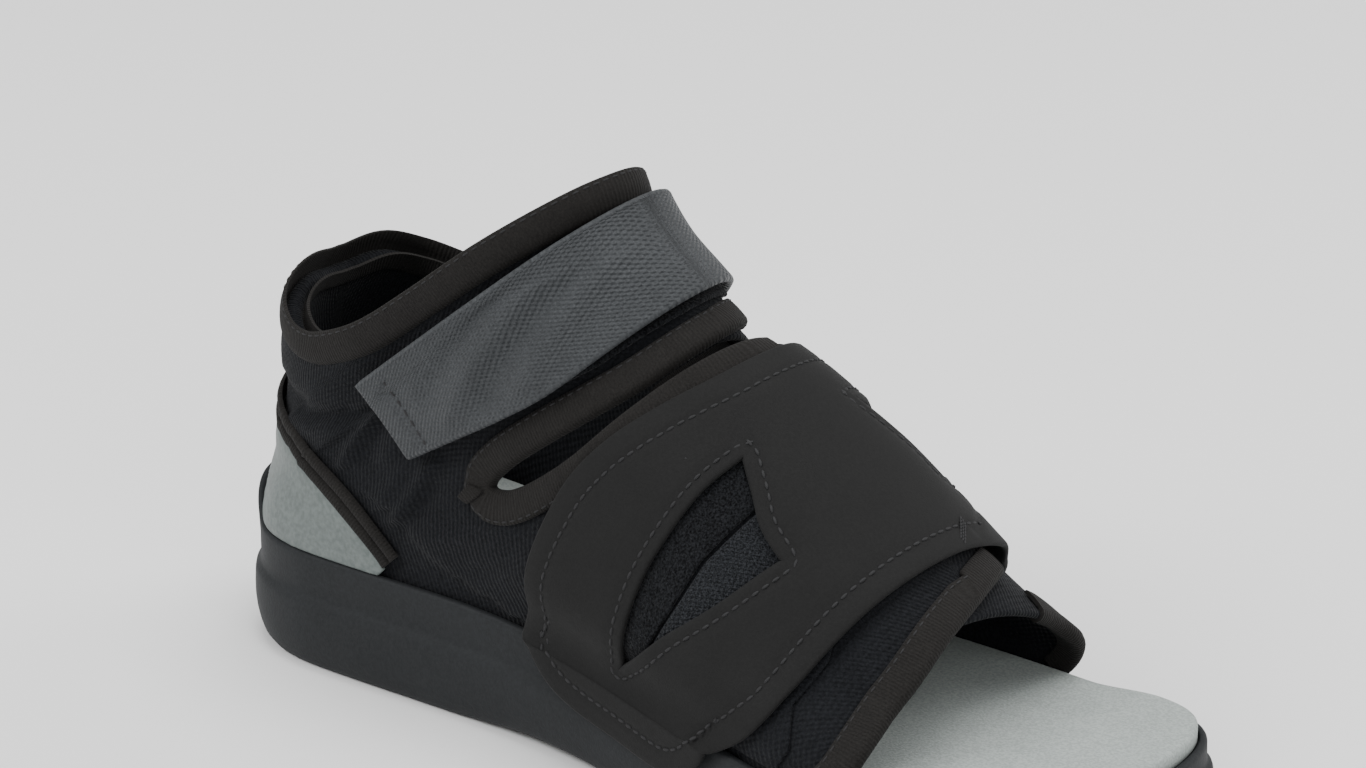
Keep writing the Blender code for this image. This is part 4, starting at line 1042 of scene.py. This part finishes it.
def lofted(name, rings, material, replaced=(), uv=None):
    count, size = rings.shape[:2]
    faces = [tuple(range(size)), tuple((count - 1) * size + k for k in reversed(range(size)))]
    for i in range(count - 1):
        for k in range(size):
            a, b = i * size + k, i * size + (k + 1) % size
            faces.append((b, a, a + size, b + size))
    return finished(name, rings.reshape(-1, 3), faces, material, replaced, uv.reshape(-1, 2), 75)


def length_along(points):
    return np.concatenate([[0], np.cumsum(np.linalg.norm(np.diff(points, axis=0), axis=1))])


def wrapped_tape(name, curve, turn, inner, outer, material, replaced=()):
    """Tape folded over an edge: an outer face, a rounded fold past the edge and an inner face."""
    shares = (1.0, 0.96, 0.75, 0.5, 0.25, 0.08)
    rows = [inward(curve, BINDING_WIDTH * share, turn)[0] for share in shares]
    across = inward(curve, BINDING_WIDTH, turn)[1]
    rings, across_run = [], []
    for share, row in zip(shares, rows):
        crown = LAYER_GAP + BINDING_THICK * (1.0 if share < 1 else 0.35)
        crown += CROWN_RISE * math.sin(math.pi * min(share, 1.0))
        rings.append(on_last(row[:, 0], row[:, 1], outer(row[:, 0], row[:, 1]) + crown))
        across_run.append(share * BINDING_WIDTH)
    top = outer(curve[:, 0], curve[:, 1]) + LAYER_GAP + BINDING_THICK
    bottom = inner(curve[:, 0], curve[:, 1]) - GAP - BINDING_THICK
    middle, half = (top + bottom) / 2, (top - bottom) / 2
    for angle in np.radians((75, 45, 15, -15, -45, -75)):
        lift = middle + half * math.sin(angle)
        reach = (WRAP + 0.4 * half) * math.cos(angle)
        rings.append(on_last(curve[:, 0], curve[:, 1], lift) - across * reach[:, None])
        across_run.append(-0.001 + 0.001 * angle)
    for share in (0.15, 0.4, LINING_WIDTH / BINDING_WIDTH):
        row = inward(curve, BINDING_WIDTH * share, turn)[0]
        rings.append(on_last(row[:, 0], row[:, 1], inner(row[:, 0], row[:, 1]) - GAP - BINDING_THICK))
        across_run.append(-0.004 - share * BINDING_WIDTH)
    for share in (LINING_WIDTH / BINDING_WIDTH, 0.1):
        row = inward(curve, BINDING_WIDTH * share, turn)[0]
        rings.append(on_last(row[:, 0], row[:, 1], inner(row[:, 0], row[:, 1]) - GAP))
        across_run.append(-0.01)
    for middle_share in (0.7, 0.3):
        lift = outer(curve[:, 0], curve[:, 1]) * middle_share
        lift = lift + inner(curve[:, 0], curve[:, 1]) * (1 - middle_share)
        rings.append(on_last(curve[:, 0], curve[:, 1], lift) - across * FOLD_GAP)
        across_run.append(-0.02)
    rings[-2], rings[-1] = rings[-1], rings[-2]
    for share in (0.1, 0.5, 0.98):
        row = inward(curve, BINDING_WIDTH * share, turn)[0]
        rings.append(on_last(row[:, 0], row[:, 1], outer(row[:, 0], row[:, 1]) + LAYER_GAP))
        across_run.append(-0.03)
    rings = np.stack(rings, 1)
    run = length_along(on_last(curve[:, 0], curve[:, 1], np.zeros(len(curve))))
    uv = np.stack(np.broadcast_arrays(run[:, None], np.array(across_run)[None]), 2)
    return lofted(name, rings, material, replaced, uv)


tape, tape_tree, tape_shader = new_material("ribbed_tape", 0.86, sheen=0.03, specular=0.08)
tape_place = mottled(tape_tree, tape_shader, (0.0080, 0.0075, 0.0071), (0.0190, 0.0178, 0.0168), 120.0,
                     2200.0, 0.55)
tape_map = distorted(tape_tree, node(tape_tree, "ShaderNodeTexCoord").outputs["UV"], 0.0003, 900.0)
tape_ribs, _ = waves(tape_tree, tape_map, RIB_PITCH / 2, 0.01)
bumped(tape_tree, tape_shader, tape_ribs, 0.30, 0.0004)
bumped(tape_tree, tape_shader, noise(tape_tree, tape_place, 3000.0), 0.35, 0.0004)


def lap_inner(u, w):
    return lap(w)


collar_curve = edge([(COLLAR_EDGE[-1][0], ANKLE_REACH - 0.01)] + mirrored(COLLAR_EDGE[::-1], -1))
medial_collar = edge(mirrored(COLLAR_EDGE, 1))
medial_collar = medial_collar[medial_collar[:, 1] > ANKLE_REACH + 0.05]
wrapped_tape("collar_tape", np.vstack([collar_curve, medial_collar[1:]]), -1, lap_inner, lateral_outer, tape,
             ["collar_binding"])
slot_lateral = edge([(SLOT_EDGE[0][0] + 0.02, ANKLE_REACH - 0.02)] + mirrored(SLOT_EDGE, -1) + [
    (SLOT_EDGE[-1][0] - 0.006, 0.06)])
wrapped_tape("slot_tape_lateral", slot_lateral, -1, lap_inner, lateral_outer, tape,
             ["slot_binding_lateral"])
slot_medial = edge(mirrored(SLOT_EDGE, 1))
slot_half = int(np.argmax(slot_medial[:, 1]))
slot_reach = np.where(np.arange(len(slot_medial)) < slot_half, ANKLE_REACH, LATERAL_REACH)
slot_keep = slot_medial[:, 1] > slot_reach + 0.05
wrapped_tape("slot_tape_medial", slot_medial[slot_keep], 1, flat_lift, medial_outer, tape,
             ["slot_binding_medial"])


def clear_of_rim(curve, lift):
    limit = np.array([abs(rim_crossing(u, 1 if w > 0 else -1, lift)) if u < 1 else 1.01 for u, w in curve])
    return curve[np.abs(curve[:, 1]) < limit - 0.01]


front_lateral = clear_of_rim(edge(LATERAL_FRONT), WALL + LAYER_GAP)
wrapped_tape("front_tape_lateral", front_lateral, -1, lap_inner, lateral_outer, tape,
             ["flap_binding_lateral"])
front_medial = edge(MEDIAL_FRONT)
front_medial = clear_of_rim(front_medial[front_medial[:, 1] > LATERAL_REACH + 0.04], WALL + LAYER_GAP)
wrapped_tape("front_tape_medial", front_medial, 1, flat_lift, medial_outer, tape,
             ["flap_binding_medial"])


def flat_tape(name, curve, turn, width, lift, profile, material, replaced=()):
    """Tape laid flat along a curve. The profile gives shares of the width and heights over the lift."""
    rows = [inward(curve, max(width * share, 1e-7), turn)[0] for share, _ in profile]
    rings = []
    for (_, height), row in zip(profile, rows):
        rings.append(on_last(row[:, 0], row[:, 1], lateral_outer(row[:, 0], row[:, 1]) + lift + height))
    for row in rows[::-1]:
        rings.append(on_last(row[:, 0], row[:, 1], lateral_outer(row[:, 0], row[:, 1]) + lift))
    run = length_along(on_last(curve[:, 0], curve[:, 1], np.zeros(len(curve))))
    across = np.array([share * width for share, _ in profile] + [-0.02] * len(profile))
    uv = np.stack(np.broadcast_arrays(run[:, None], across[None]), 2)
    return lofted(name, np.stack(rings, 1), material, replaced, uv)


counter_curve = np.vstack([counter_edge(-1), counter_edge(1)[-2::-1]])
counter_curve = clear_of_rim(counter_curve, WALL + 2 * COUNTER_GAP)
# Half of the doubled tape's profile, mirrored about the groove between its two strips
half_profile = [(0.00, 0.0003), (0.03, 0.0009), (0.10, 0.0013), (0.22, 0.0015), (0.36, 0.0013),
                (0.44, 0.0010)]
doubled_profile = half_profile + [(0.50, 0.0003)] + [(round(1 - share, 2), rise)
                                                      for share, rise in half_profile[::-1]]
flat_tape("counter_tape", counter_curve, -1, COUNTER_BINDING_WIDTH, COUNTER_GAP + COUNTER_THICK * 0.2,
          doubled_profile, tape, ["counter_binding"])

# Loop fields
# Fields of brushed and of fine fastening loops that the straps press onto: a grooved pad on the ankle
# flap, and thin patches sewn to the lateral forefoot flap that show in the strap's window and round it.
PAD_THICK = 0.0016
PAD_STEP = 0.0014
FIELD_STEP = 0.0016
PAD_EDGE = (
    (0.920, -0.50),
    (0.900, -0.30),
    (0.890, -0.10),
    (0.890, 0.10),
    (0.765, 0.10),
    (0.750, -0.05),
    (0.750, -0.20),
    (0.770, -0.32),
    (0.790, -0.42),
    (0.805, -0.51),
)

pile, pile_tree, pile_shader = new_material("loop_pile", 0.95, sheen=0.05, specular=0.04)
pile_place = mottled(pile_tree, pile_shader, (0.0008, 0.0008, 0.0010), (0.015, 0.016, 0.018), 180.0, 1700.0,
                     0.8)
bumped(pile_tree, pile_shader, noise(pile_tree, pile_place, 1300.0, 5.0), 0.9, 0.0010)
bumped(pile_tree, pile_shader, noise(pile_tree, pile_place, 300.0), 0.35, 0.0010)

loops, loops_tree, loops_shader = new_material("fine_loops", 0.92, sheen=0.04, specular=0.06)
loops_place = mottled(loops_tree, loops_shader, (0.0015, 0.0017, 0.0020), (0.027, 0.029, 0.033), 90.0,
                      2600.0, 0.85)
loops_map = distorted(loops_tree, node(loops_tree, "ShaderNodeTexCoord").outputs["UV"], 0.0007, 700.0)
loops_rows = waves(loops_tree, loops_map, 0.0009, 0.0009)
bumped(loops_tree, loops_shader, product(loops_tree, *loops_rows), 0.55, 0.0005)
bumped(loops_tree, loops_shader, noise(loops_tree, loops_place, 2500.0), 0.6, 0.0005)


def closed_edge(points, step=EDGE_STEP):
    ring = list(points) + [points[0]]
    return np.vstack([edge([a, b], step)[:-1] for a, b in zip(ring, ring[1:])])


PAD_GROOVE = ((-0.0009, 0.0013, ((0.800, -0.49), (0.772, -0.34), (0.764, -0.15), (0.772, 0.05))),)


def pad_top(u, w):
    return lateral_outer(u, w) + LAYER_GAP + PAD_THICK + ridges(u, w, PAD_GROOVE)


cloth("ankle_loop_pad", [([closed_edge(PAD_EDGE)], lined(lateral_outer, LAYER_GAP), pad_top, on_last)], pile,
      ["ankle_pad"], PAD_STEP)

# Patches in the window, before the strap and behind it, and the overlapped join of the slot's tape
FIELDS = (
    # name, material, lift, thickness, corners
    ("window_pile", pile, 0.0002, 0.0011, (
        (0.425, -0.19), (0.500, -0.19), (0.505, -0.45), (0.490, -0.70), (0.440, -0.93), (0.385, -0.93),
        (0.392, -0.76), (0.402, -0.64), (0.417, -0.48), (0.421, -0.30))),
    ("window_loops", loops, 0.0002, 0.0007, (
        (0.418, -0.20), (0.414, -0.30), (0.410, -0.48), (0.396, -0.64), (0.386, -0.76), (0.378, -0.93),
        (0.350, -0.93), (0.335, -0.70), (0.330, -0.45), (0.335, -0.20))),
    ("front_layer", knit, 0.0002, 0.0008, (
        (0.300, -0.34), (0.262, -0.50), (0.243, -0.68), (0.223, -0.745), (0.203, -0.81), (0.190, -0.93),
        (0.300, -0.94))),
    ("slot_tape_join", tape, 0.0012, 0.0010, (
        (0.724, -0.606), (0.721, -0.646), (0.705, -0.652), (0.702, -0.606))),
    ("rear_pile", pile, 0.0002, 0.0010, (
        (0.556, 0.14), (0.586, 0.14), (0.588, -0.05), (0.595, -0.20), (0.598, -0.30), (0.575, -0.30),
        (0.558, -0.10))),
)
for field_name, field_material, field_lift, field_thick, field_corners in FIELDS:
    field_top = lined(lateral_outer, field_lift + field_thick)
    cloth(field_name, [([closed_edge(field_corners)], lined(lateral_outer, field_lift), field_top, on_last)],
          field_material, (), FIELD_STEP)

# Ankle strap
# Woven tape over the ankle with a slight sheen, pressed onto the pad of loops on the ankle flap.
# Its near end is square, turned under and stitched down, and its far end runs to the medial wall.
ANKLE_STRAP_THICK = 0.0020
ANKLE_STRAP_GAP = 0.0018
ANKLE_STRAP_TOP = (
    (1.10, -0.36),
    (1.10, -0.22),
    (1.11, -0.08),
    (1.11, 0.08),
    (1.08, 0.30),
    (1.10, 0.52),
)
ANKLE_STRAP_LOW = (
    (0.84, 0.58),
    (0.80, 0.36),
    (0.785, 0.12),
    (0.765, -0.04),
    (0.755, -0.18),
    (0.755, -0.30),
    (0.775, -0.40),
    (0.800, -0.49),
)
WEAVE_PITCH = 0.0011
ANKLE_STRAP_STEP = 0.0016
TURN_LOW = 0.0014
TURN_HIGH = 0.0002
SEAM_SINK = 0.0007
TAPE_SEAM_SHARE = 0.86
THREAD_RISE = 0.0001

webbing, webbing_tree, webbing_shader = new_material("woven_tape", 0.55, sheen=0.05, specular=0.2)
webbing_place = mottled(webbing_tree, webbing_shader, (0.018, 0.020, 0.022), (0.050, 0.054, 0.058), 60.0,
                        1500.0, 0.45)
webbing_map = distorted(webbing_tree, node(webbing_tree, "ShaderNodeTexCoord").outputs["UV"], 0.00025, 700.0)
weave = waves(webbing_tree, webbing_map, WEAVE_PITCH, WEAVE_PITCH * 0.75)
bumped(webbing_tree, webbing_shader, product(webbing_tree, *weave), 0.65, 0.0005)
bumped(webbing_tree, webbing_shader, noise(webbing_tree, webbing_place, 2600.0), 0.3, 0.0004)

# The end's corners and those of its seam, each joined by a straight line over the upper
ANKLE_END = ((0.825, -0.588), (1.105, -0.487))
ANKLE_END_SEAM = ((0.824, -0.538), (1.092, -0.441))


def straight_over(corners, lift, count=24):
    """Straight line in space between two corners, brought to the surface at a lift."""
    ends = np.array(corners, float)
    point = on_last(ends[:, 0], ends[:, 1], lateral_outer(ends[:, 0], ends[:, 1]) + lift)
    share = np.linspace(0, 1, count)[:, None]
    start = ends[0] * (1 - share) + ends[1] * share
    goal = point[0] * (1 - share) + point[1] * share
    return nearest(goal, start, np.full(count, np.sign(ends[0, 1])), lift=lift)


ankle_lift = LAYER_GAP + PAD_THICK + ANKLE_STRAP_GAP
ankle_end = straight_over(ANKLE_END, ankle_lift)
ankle_seam = straight_over(ANKLE_END_SEAM, ankle_lift)
ankle_far_end = straight_over((ANKLE_STRAP_TOP[-1], ANKLE_STRAP_LOW[0]), ankle_lift)
# Columns: height, half width, line
ANKLE_FOLDS = (
    (0.0015, 0.0045, ((0.835, -0.44), (0.92, -0.27), (0.98, -0.17))),
    (-0.0012, 0.0045, ((0.815, -0.38), (0.89, -0.23), (0.94, -0.12))),
    (0.0013, 0.0045, ((0.790, -0.30), (0.85, -0.19), (0.93, -0.08))),
    (-0.0008, 0.0040, ((0.900, -0.43), (0.96, -0.32), (1.03, -0.22))),
    (-0.0007, 0.0012, ankle_seam[::4]),
)

thread, _, thread_shader = new_material("thread", 0.62, specular=0.18)
thread_shader.inputs["Base Color"].default_value = (0.020, 0.020, 0.021, 1)


def stitch_group():
    """Thread capsules laid along lines, at a pitch."""
    tree = bpy.data.node_groups.new("stitch_row", "GeometryNodeTree")
    tree.interface.new_socket("Lines", in_out="INPUT", socket_type="NodeSocketGeometry")
    for name in ("Pitch", "Stitch", "Thread"):
        tree.interface.new_socket(name, in_out="INPUT", socket_type="NodeSocketFloat")
    tree.interface.new_socket("Material", in_out="INPUT", socket_type="NodeSocketMaterial")
    tree.interface.new_socket("Stitches", in_out="OUTPUT", socket_type="NodeSocketGeometry")
    given = node(tree, "NodeGroupInput").outputs
    curve = node(tree, "GeometryNodeMeshToCurve", {"Mesh": given["Lines"]})
    points = node(tree, "GeometryNodeCurveToPoints", mode="LENGTH")
    tree.links.new(curve.outputs[0], points.inputs["Curve"])
    tree.links.new(given["Pitch"], points.inputs["Length"])
    ball = node(tree, "GeometryNodeMeshUVSphere", {"Segments": 8, "Rings": 6, "Radius": 0.5})
    size = node(tree, "ShaderNodeCombineXYZ", {
        "X": given["Thread"], "Y": given["Thread"], "Z": given["Stitch"]})
    placed = node(tree, "GeometryNodeInstanceOnPoints", {
        "Points": points.outputs["Points"], "Instance": ball.outputs["Mesh"],
        "Rotation": points.outputs["Rotation"], "Scale": size.outputs[0]})
    real = node(tree, "GeometryNodeRealizeInstances", {"Geometry": placed.outputs[0]})
    inked = node(tree, "GeometryNodeSetMaterial", {
        "Geometry": real.outputs[0], "Material": given["Material"]})
    out = node(tree, "NodeGroupOutput")
    tree.links.new(inked.outputs[0], out.inputs[0])
    return tree


STITCH_ROW = stitch_group()


def stitches(name, lines, pitch=0.0031, length=0.0023, width=0.0009):
    """Rows of thread along lines of points, turned into plain mesh."""
    points, links = [], []
    for line in lines:
        links += [(len(points) + i, len(points) + i + 1) for i in range(len(line) - 1)]
        points += (np.asarray(line) + SHIFT).tolist()
    mesh = bpy.data.meshes.new(name)
    mesh.from_pydata(points, links, [])
    made = bpy.data.objects.new(name, mesh)
    bpy.context.scene.collection.objects.link(made)
    maker = made.modifiers.new("stitches", "NODES")
    maker.node_group = STITCH_ROW
    given = {"Pitch": pitch, "Stitch": length, "Thread": width, "Material": thread}
    for item in STITCH_ROW.interface.items_tree:
        if item.in_out == "INPUT" and item.name in given:
            maker[item.identifier] = given[item.name]
    bpy.context.view_layer.update()
    plain = bpy.data.meshes.new_from_object(made.evaluated_get(bpy.context.evaluated_depsgraph_get()))
    made.modifiers.clear()
    made.data = plain
    plain.shade_smooth()
    return dressed(made)


def laid(line, lift, place=on_last):
    """Points of a line on the outer face, at a lift over the upper."""
    u, w = np.asarray(line).T
    return place(u, w, lateral_outer(u, w) + lift)


ankle_top = edge((ANKLE_END[-1],) + ANKLE_STRAP_TOP)
ankle_low = edge(ANKLE_STRAP_LOW + (ANKLE_END[0],))
ankle_loop = np.vstack([ankle_top[:-1], by_length(ankle_far_end, EDGE_STEP)[1:-1], ankle_low[:-1],
                        by_length(ankle_end, EDGE_STEP)[:-1]])


def folded(extra):
    return lambda u, w: lateral_outer(u, w) + ridges(u, w, ANKLE_FOLDS) + extra


ankle_top_lift = ankle_lift + ANKLE_STRAP_THICK
cloth("woven_ankle_strap", [([ankle_loop], folded(ankle_lift), folded(ankle_top_lift), on_last)], webbing,
      ["ankle_strap"], ANKLE_STRAP_STEP)
turned_loop = np.vstack([by_length(ankle_end, EDGE_STEP), by_length(ankle_seam, EDGE_STEP)[::-1]])
turn_low, turn_high = folded(ankle_lift - TURN_LOW), folded(ankle_lift - TURN_HIGH)
cloth("ankle_strap_turn", [([turned_loop], turn_low, turn_high, on_last)], webbing, (),
      ANKLE_STRAP_STEP)
stitches("ankle_strap_stitches", [laid(ankle_seam, ankle_top_lift - SEAM_SINK)])

# Rows of finer stitches on the tapes of the collar, the slot and the front edge
tape_lift = LAYER_GAP + BINDING_THICK + THREAD_RISE
tape_lines = (collar_curve, slot_lateral, front_lateral[front_lateral[:, 1] < -0.02])
tape_seams = [inward(line, TAPE_SEAM_SHARE * BINDING_WIDTH, -1)[0] for line in tape_lines]
tape_threads = [laid(seam, tape_lift) for seam in tape_seams]
stitches("binding_stitches", tape_threads, 0.0030, 0.0020, 0.0005)

# Forefoot strap
# Broad matte brushed strap over the instep. It hangs over the sole's side laterally and has a leaf-shaped
# window on each side. A row of stitches runs inside its border and round each window.
FORE_STRAP_THICK = 0.0018
STRAP_DROP = 0.011
STRAP_LIFT = 2 * LAYER_GAP + BINDING_THICK
WINDOW_SHIFT = 0.12
# The window's corners, as places in its list of points
WINDOW_CORNERS = (0, 3, 6, 11)
WINDOW_STEP = 0.0012
STRAP_SEAM = 0.0060
WINDOW_SEAM = 0.0028
SEAM_DEPTH = 0.0004
SEAM_WIDTH = 0.0011
FORE_STRAP_STEP = 0.0015
# The border seam stops short of the medial end, and sooner along the front edge
SEAM_REACH = 0.84
FRONT_SEAM_REACH = 0.22
FRONT_SEAM_PLACE = 0.42
# The bar-tack: its ends across the strap and the places of its rows
TACK_FROM = (0.296, 0.07)
TACK_TO = (0.312, 0.125)
TACK_ROWS = (-0.003, 0.0, 0.003)
STRAP_REAR = (
    (0.575, 0.90),
    (0.590, 0.60),
    (0.578, 0.30),
    (0.568, 0.05),
    (0.572, -0.10),
    (0.590, -0.22),
    (0.606, -0.34),
    (0.607, -0.46),
    (0.592, -0.58),
    (0.565, -0.73),
    (0.535, -0.85),
    (0.508, -0.98),
)
STRAP_END = (
    (0.480, -1.07),
    (0.440, -1.11),
    (0.380, -1.12),
    (0.300, -1.12),
)
STRAP_FRONT = (
    (0.255, -1.04),
    (0.245, -0.92),
    (0.243, -0.78),
    (0.255, -0.64),
    (0.270, -0.48),
    (0.283, -0.30),
    (0.290, -0.12),
    (0.290, 0.06),
    (0.282, 0.26),
    (0.272, 0.45),
    (0.262, 0.68),
    (0.255, 0.90),
)
WINDOW = (
    (0.470, -0.215),
    (0.430, -0.27),
    (0.398, -0.32),
    (0.360, -0.355),
    (0.366, -0.56),
    (0.380, -0.73),
    (0.398, -0.885),
    (0.430, -0.71),
    (0.450, -0.58),
    (0.462, -0.45),
    (0.470, -0.33),
)


def strap_place(u, w, lift):
    """Point of the forefoot strap: over the upper, then over the rim and down the sole's side."""
    u, w = np.asarray(u, float), np.asarray(w, float)
    over = on_last(u, np.clip(w, -1, 1), lift)
    foot = sample(GRID, u, np.full_like(w, -1.0))
    outward = sample(NORMAL, u, np.full_like(w, -1.0))
    side = foot + outward * (FEATHER + LAYER_GAP + lift - STRAP_LIFT - WALL)[..., None]
    side[..., 2] = rim_height(foot[..., 0]) - np.clip(-1 - w, 0, 1) * STRAP_DROP / 0.11
    share = smooth(-w, 0.84, 1.0)[..., None]
    return over * (1 - share) + side * share


nubuck, nubuck_tree, nubuck_shader = new_material("brushed_microfibre", 0.74, sheen=0.02, specular=0.13)
nubuck_place = mottled(nubuck_tree, nubuck_shader, (0.0066, 0.0066, 0.0066), (0.0122, 0.0122, 0.0121), 45.0,
                       1400.0, 0.35)
bumped(nubuck_tree, nubuck_shader, noise(nubuck_tree, nubuck_place, 2400.0), 0.30, 0.0003)
bumped(nubuck_tree, nubuck_shader, noise(nubuck_tree, nubuck_place, 110.0), 0.10, 0.0010)

strap_loop = by_length(through(STRAP_REAR + STRAP_END + STRAP_FRONT), EDGE_STEP, strap_place)
strap_loop = np.vstack([strap_loop[:-1], edge([STRAP_FRONT[-1], STRAP_REAR[0]])[:-1]])
windows = []
for side in (-1, 1):
    leaf = [(u, w if side < 0 else -w - WINDOW_SHIFT) for u, w in WINDOW]
    leaf.append(leaf[0])
    sides = [leaf[a:b + 1] for a, b in zip(WINDOW_CORNERS, WINDOW_CORNERS[1:])]
    windows.append(np.vstack([by_length(through(part), WINDOW_STEP)[:-1] for part in sides]))


def beside(curve, width, place, inside):
    """Line on the surface beside a closed curve, inside it or outside it."""
    u, w = curve.T
    flat = np.zeros(len(curve))
    step = 1e-3
    by_u = (place(u + step, w, flat) - place(u - step, w, flat)) / (2 * step)
    by_w = (place(u, w + step, flat) - place(u, w - step, flat)) / (2 * step)
    point = place(u, w, flat)
    across = np.cross(np.cross(by_u, by_w), np.roll(point, -2, 0) - np.roll(point, 2, 0))
    across *= width / np.linalg.norm(across, axis=1)[:, None]
    a, b, c = (by_u * by_u).sum(1), (by_u * by_w).sum(1), (by_w * by_w).sum(1)
    p, q = (by_u * across).sum(1), (by_w * across).sum(1)
    move = np.stack([c * p - b * q, a * q - b * p], 1) / (a * c - b * b)[:, None]
    if (inside_polygon(curve + move, curve).mean() > 0.5) != inside:
        move = -move
    return curve + move


border_seam = beside(strap_loop, STRAP_SEAM, strap_place, True)
within = inside_polygon(border_seam, strap_loop) & (border_seam[:, 1] < SEAM_REACH)
within &= (border_seam[:, 1] < FRONT_SEAM_REACH) | (border_seam[:, 0] > FRONT_SEAM_PLACE)
seams = [border_seam[within]]
for window in windows:
    window_seam = beside(window, WINDOW_SEAM, strap_place, False)
    seams.append(np.vstack([window_seam, window_seam[:1]]))
seam_rows = [(-SEAM_DEPTH, SEAM_WIDTH, seam[::3]) for seam in seams]


def strap_top(u, w):
    return lateral_outer(u, w) + STRAP_LIFT + FORE_STRAP_THICK + ridges(u, w, seam_rows)


strap_low = lined(lateral_outer, STRAP_LIFT)
cloth("forefoot_strap_cloth", [([strap_loop] + windows, strap_low, strap_top, strap_place)], nubuck,
      ["forefoot_strap"], FORE_STRAP_STEP)
seam_lift = STRAP_LIFT + FORE_STRAP_THICK - SEAM_DEPTH
seam_threads = [laid(seam, seam_lift + THREAD_RISE, strap_place) for seam in seams]
stitches("forefoot_strap_stitches", seam_threads)
tack_rows = [np.linspace(TACK_FROM, TACK_TO, 6) + (shift, 0) for shift in TACK_ROWS]
tack_threads = [laid(row, seam_lift + SEAM_DEPTH) for row in tack_rows]
stitches("bar_tack", tack_threads, 0.0011, 0.0013, 0.0006)
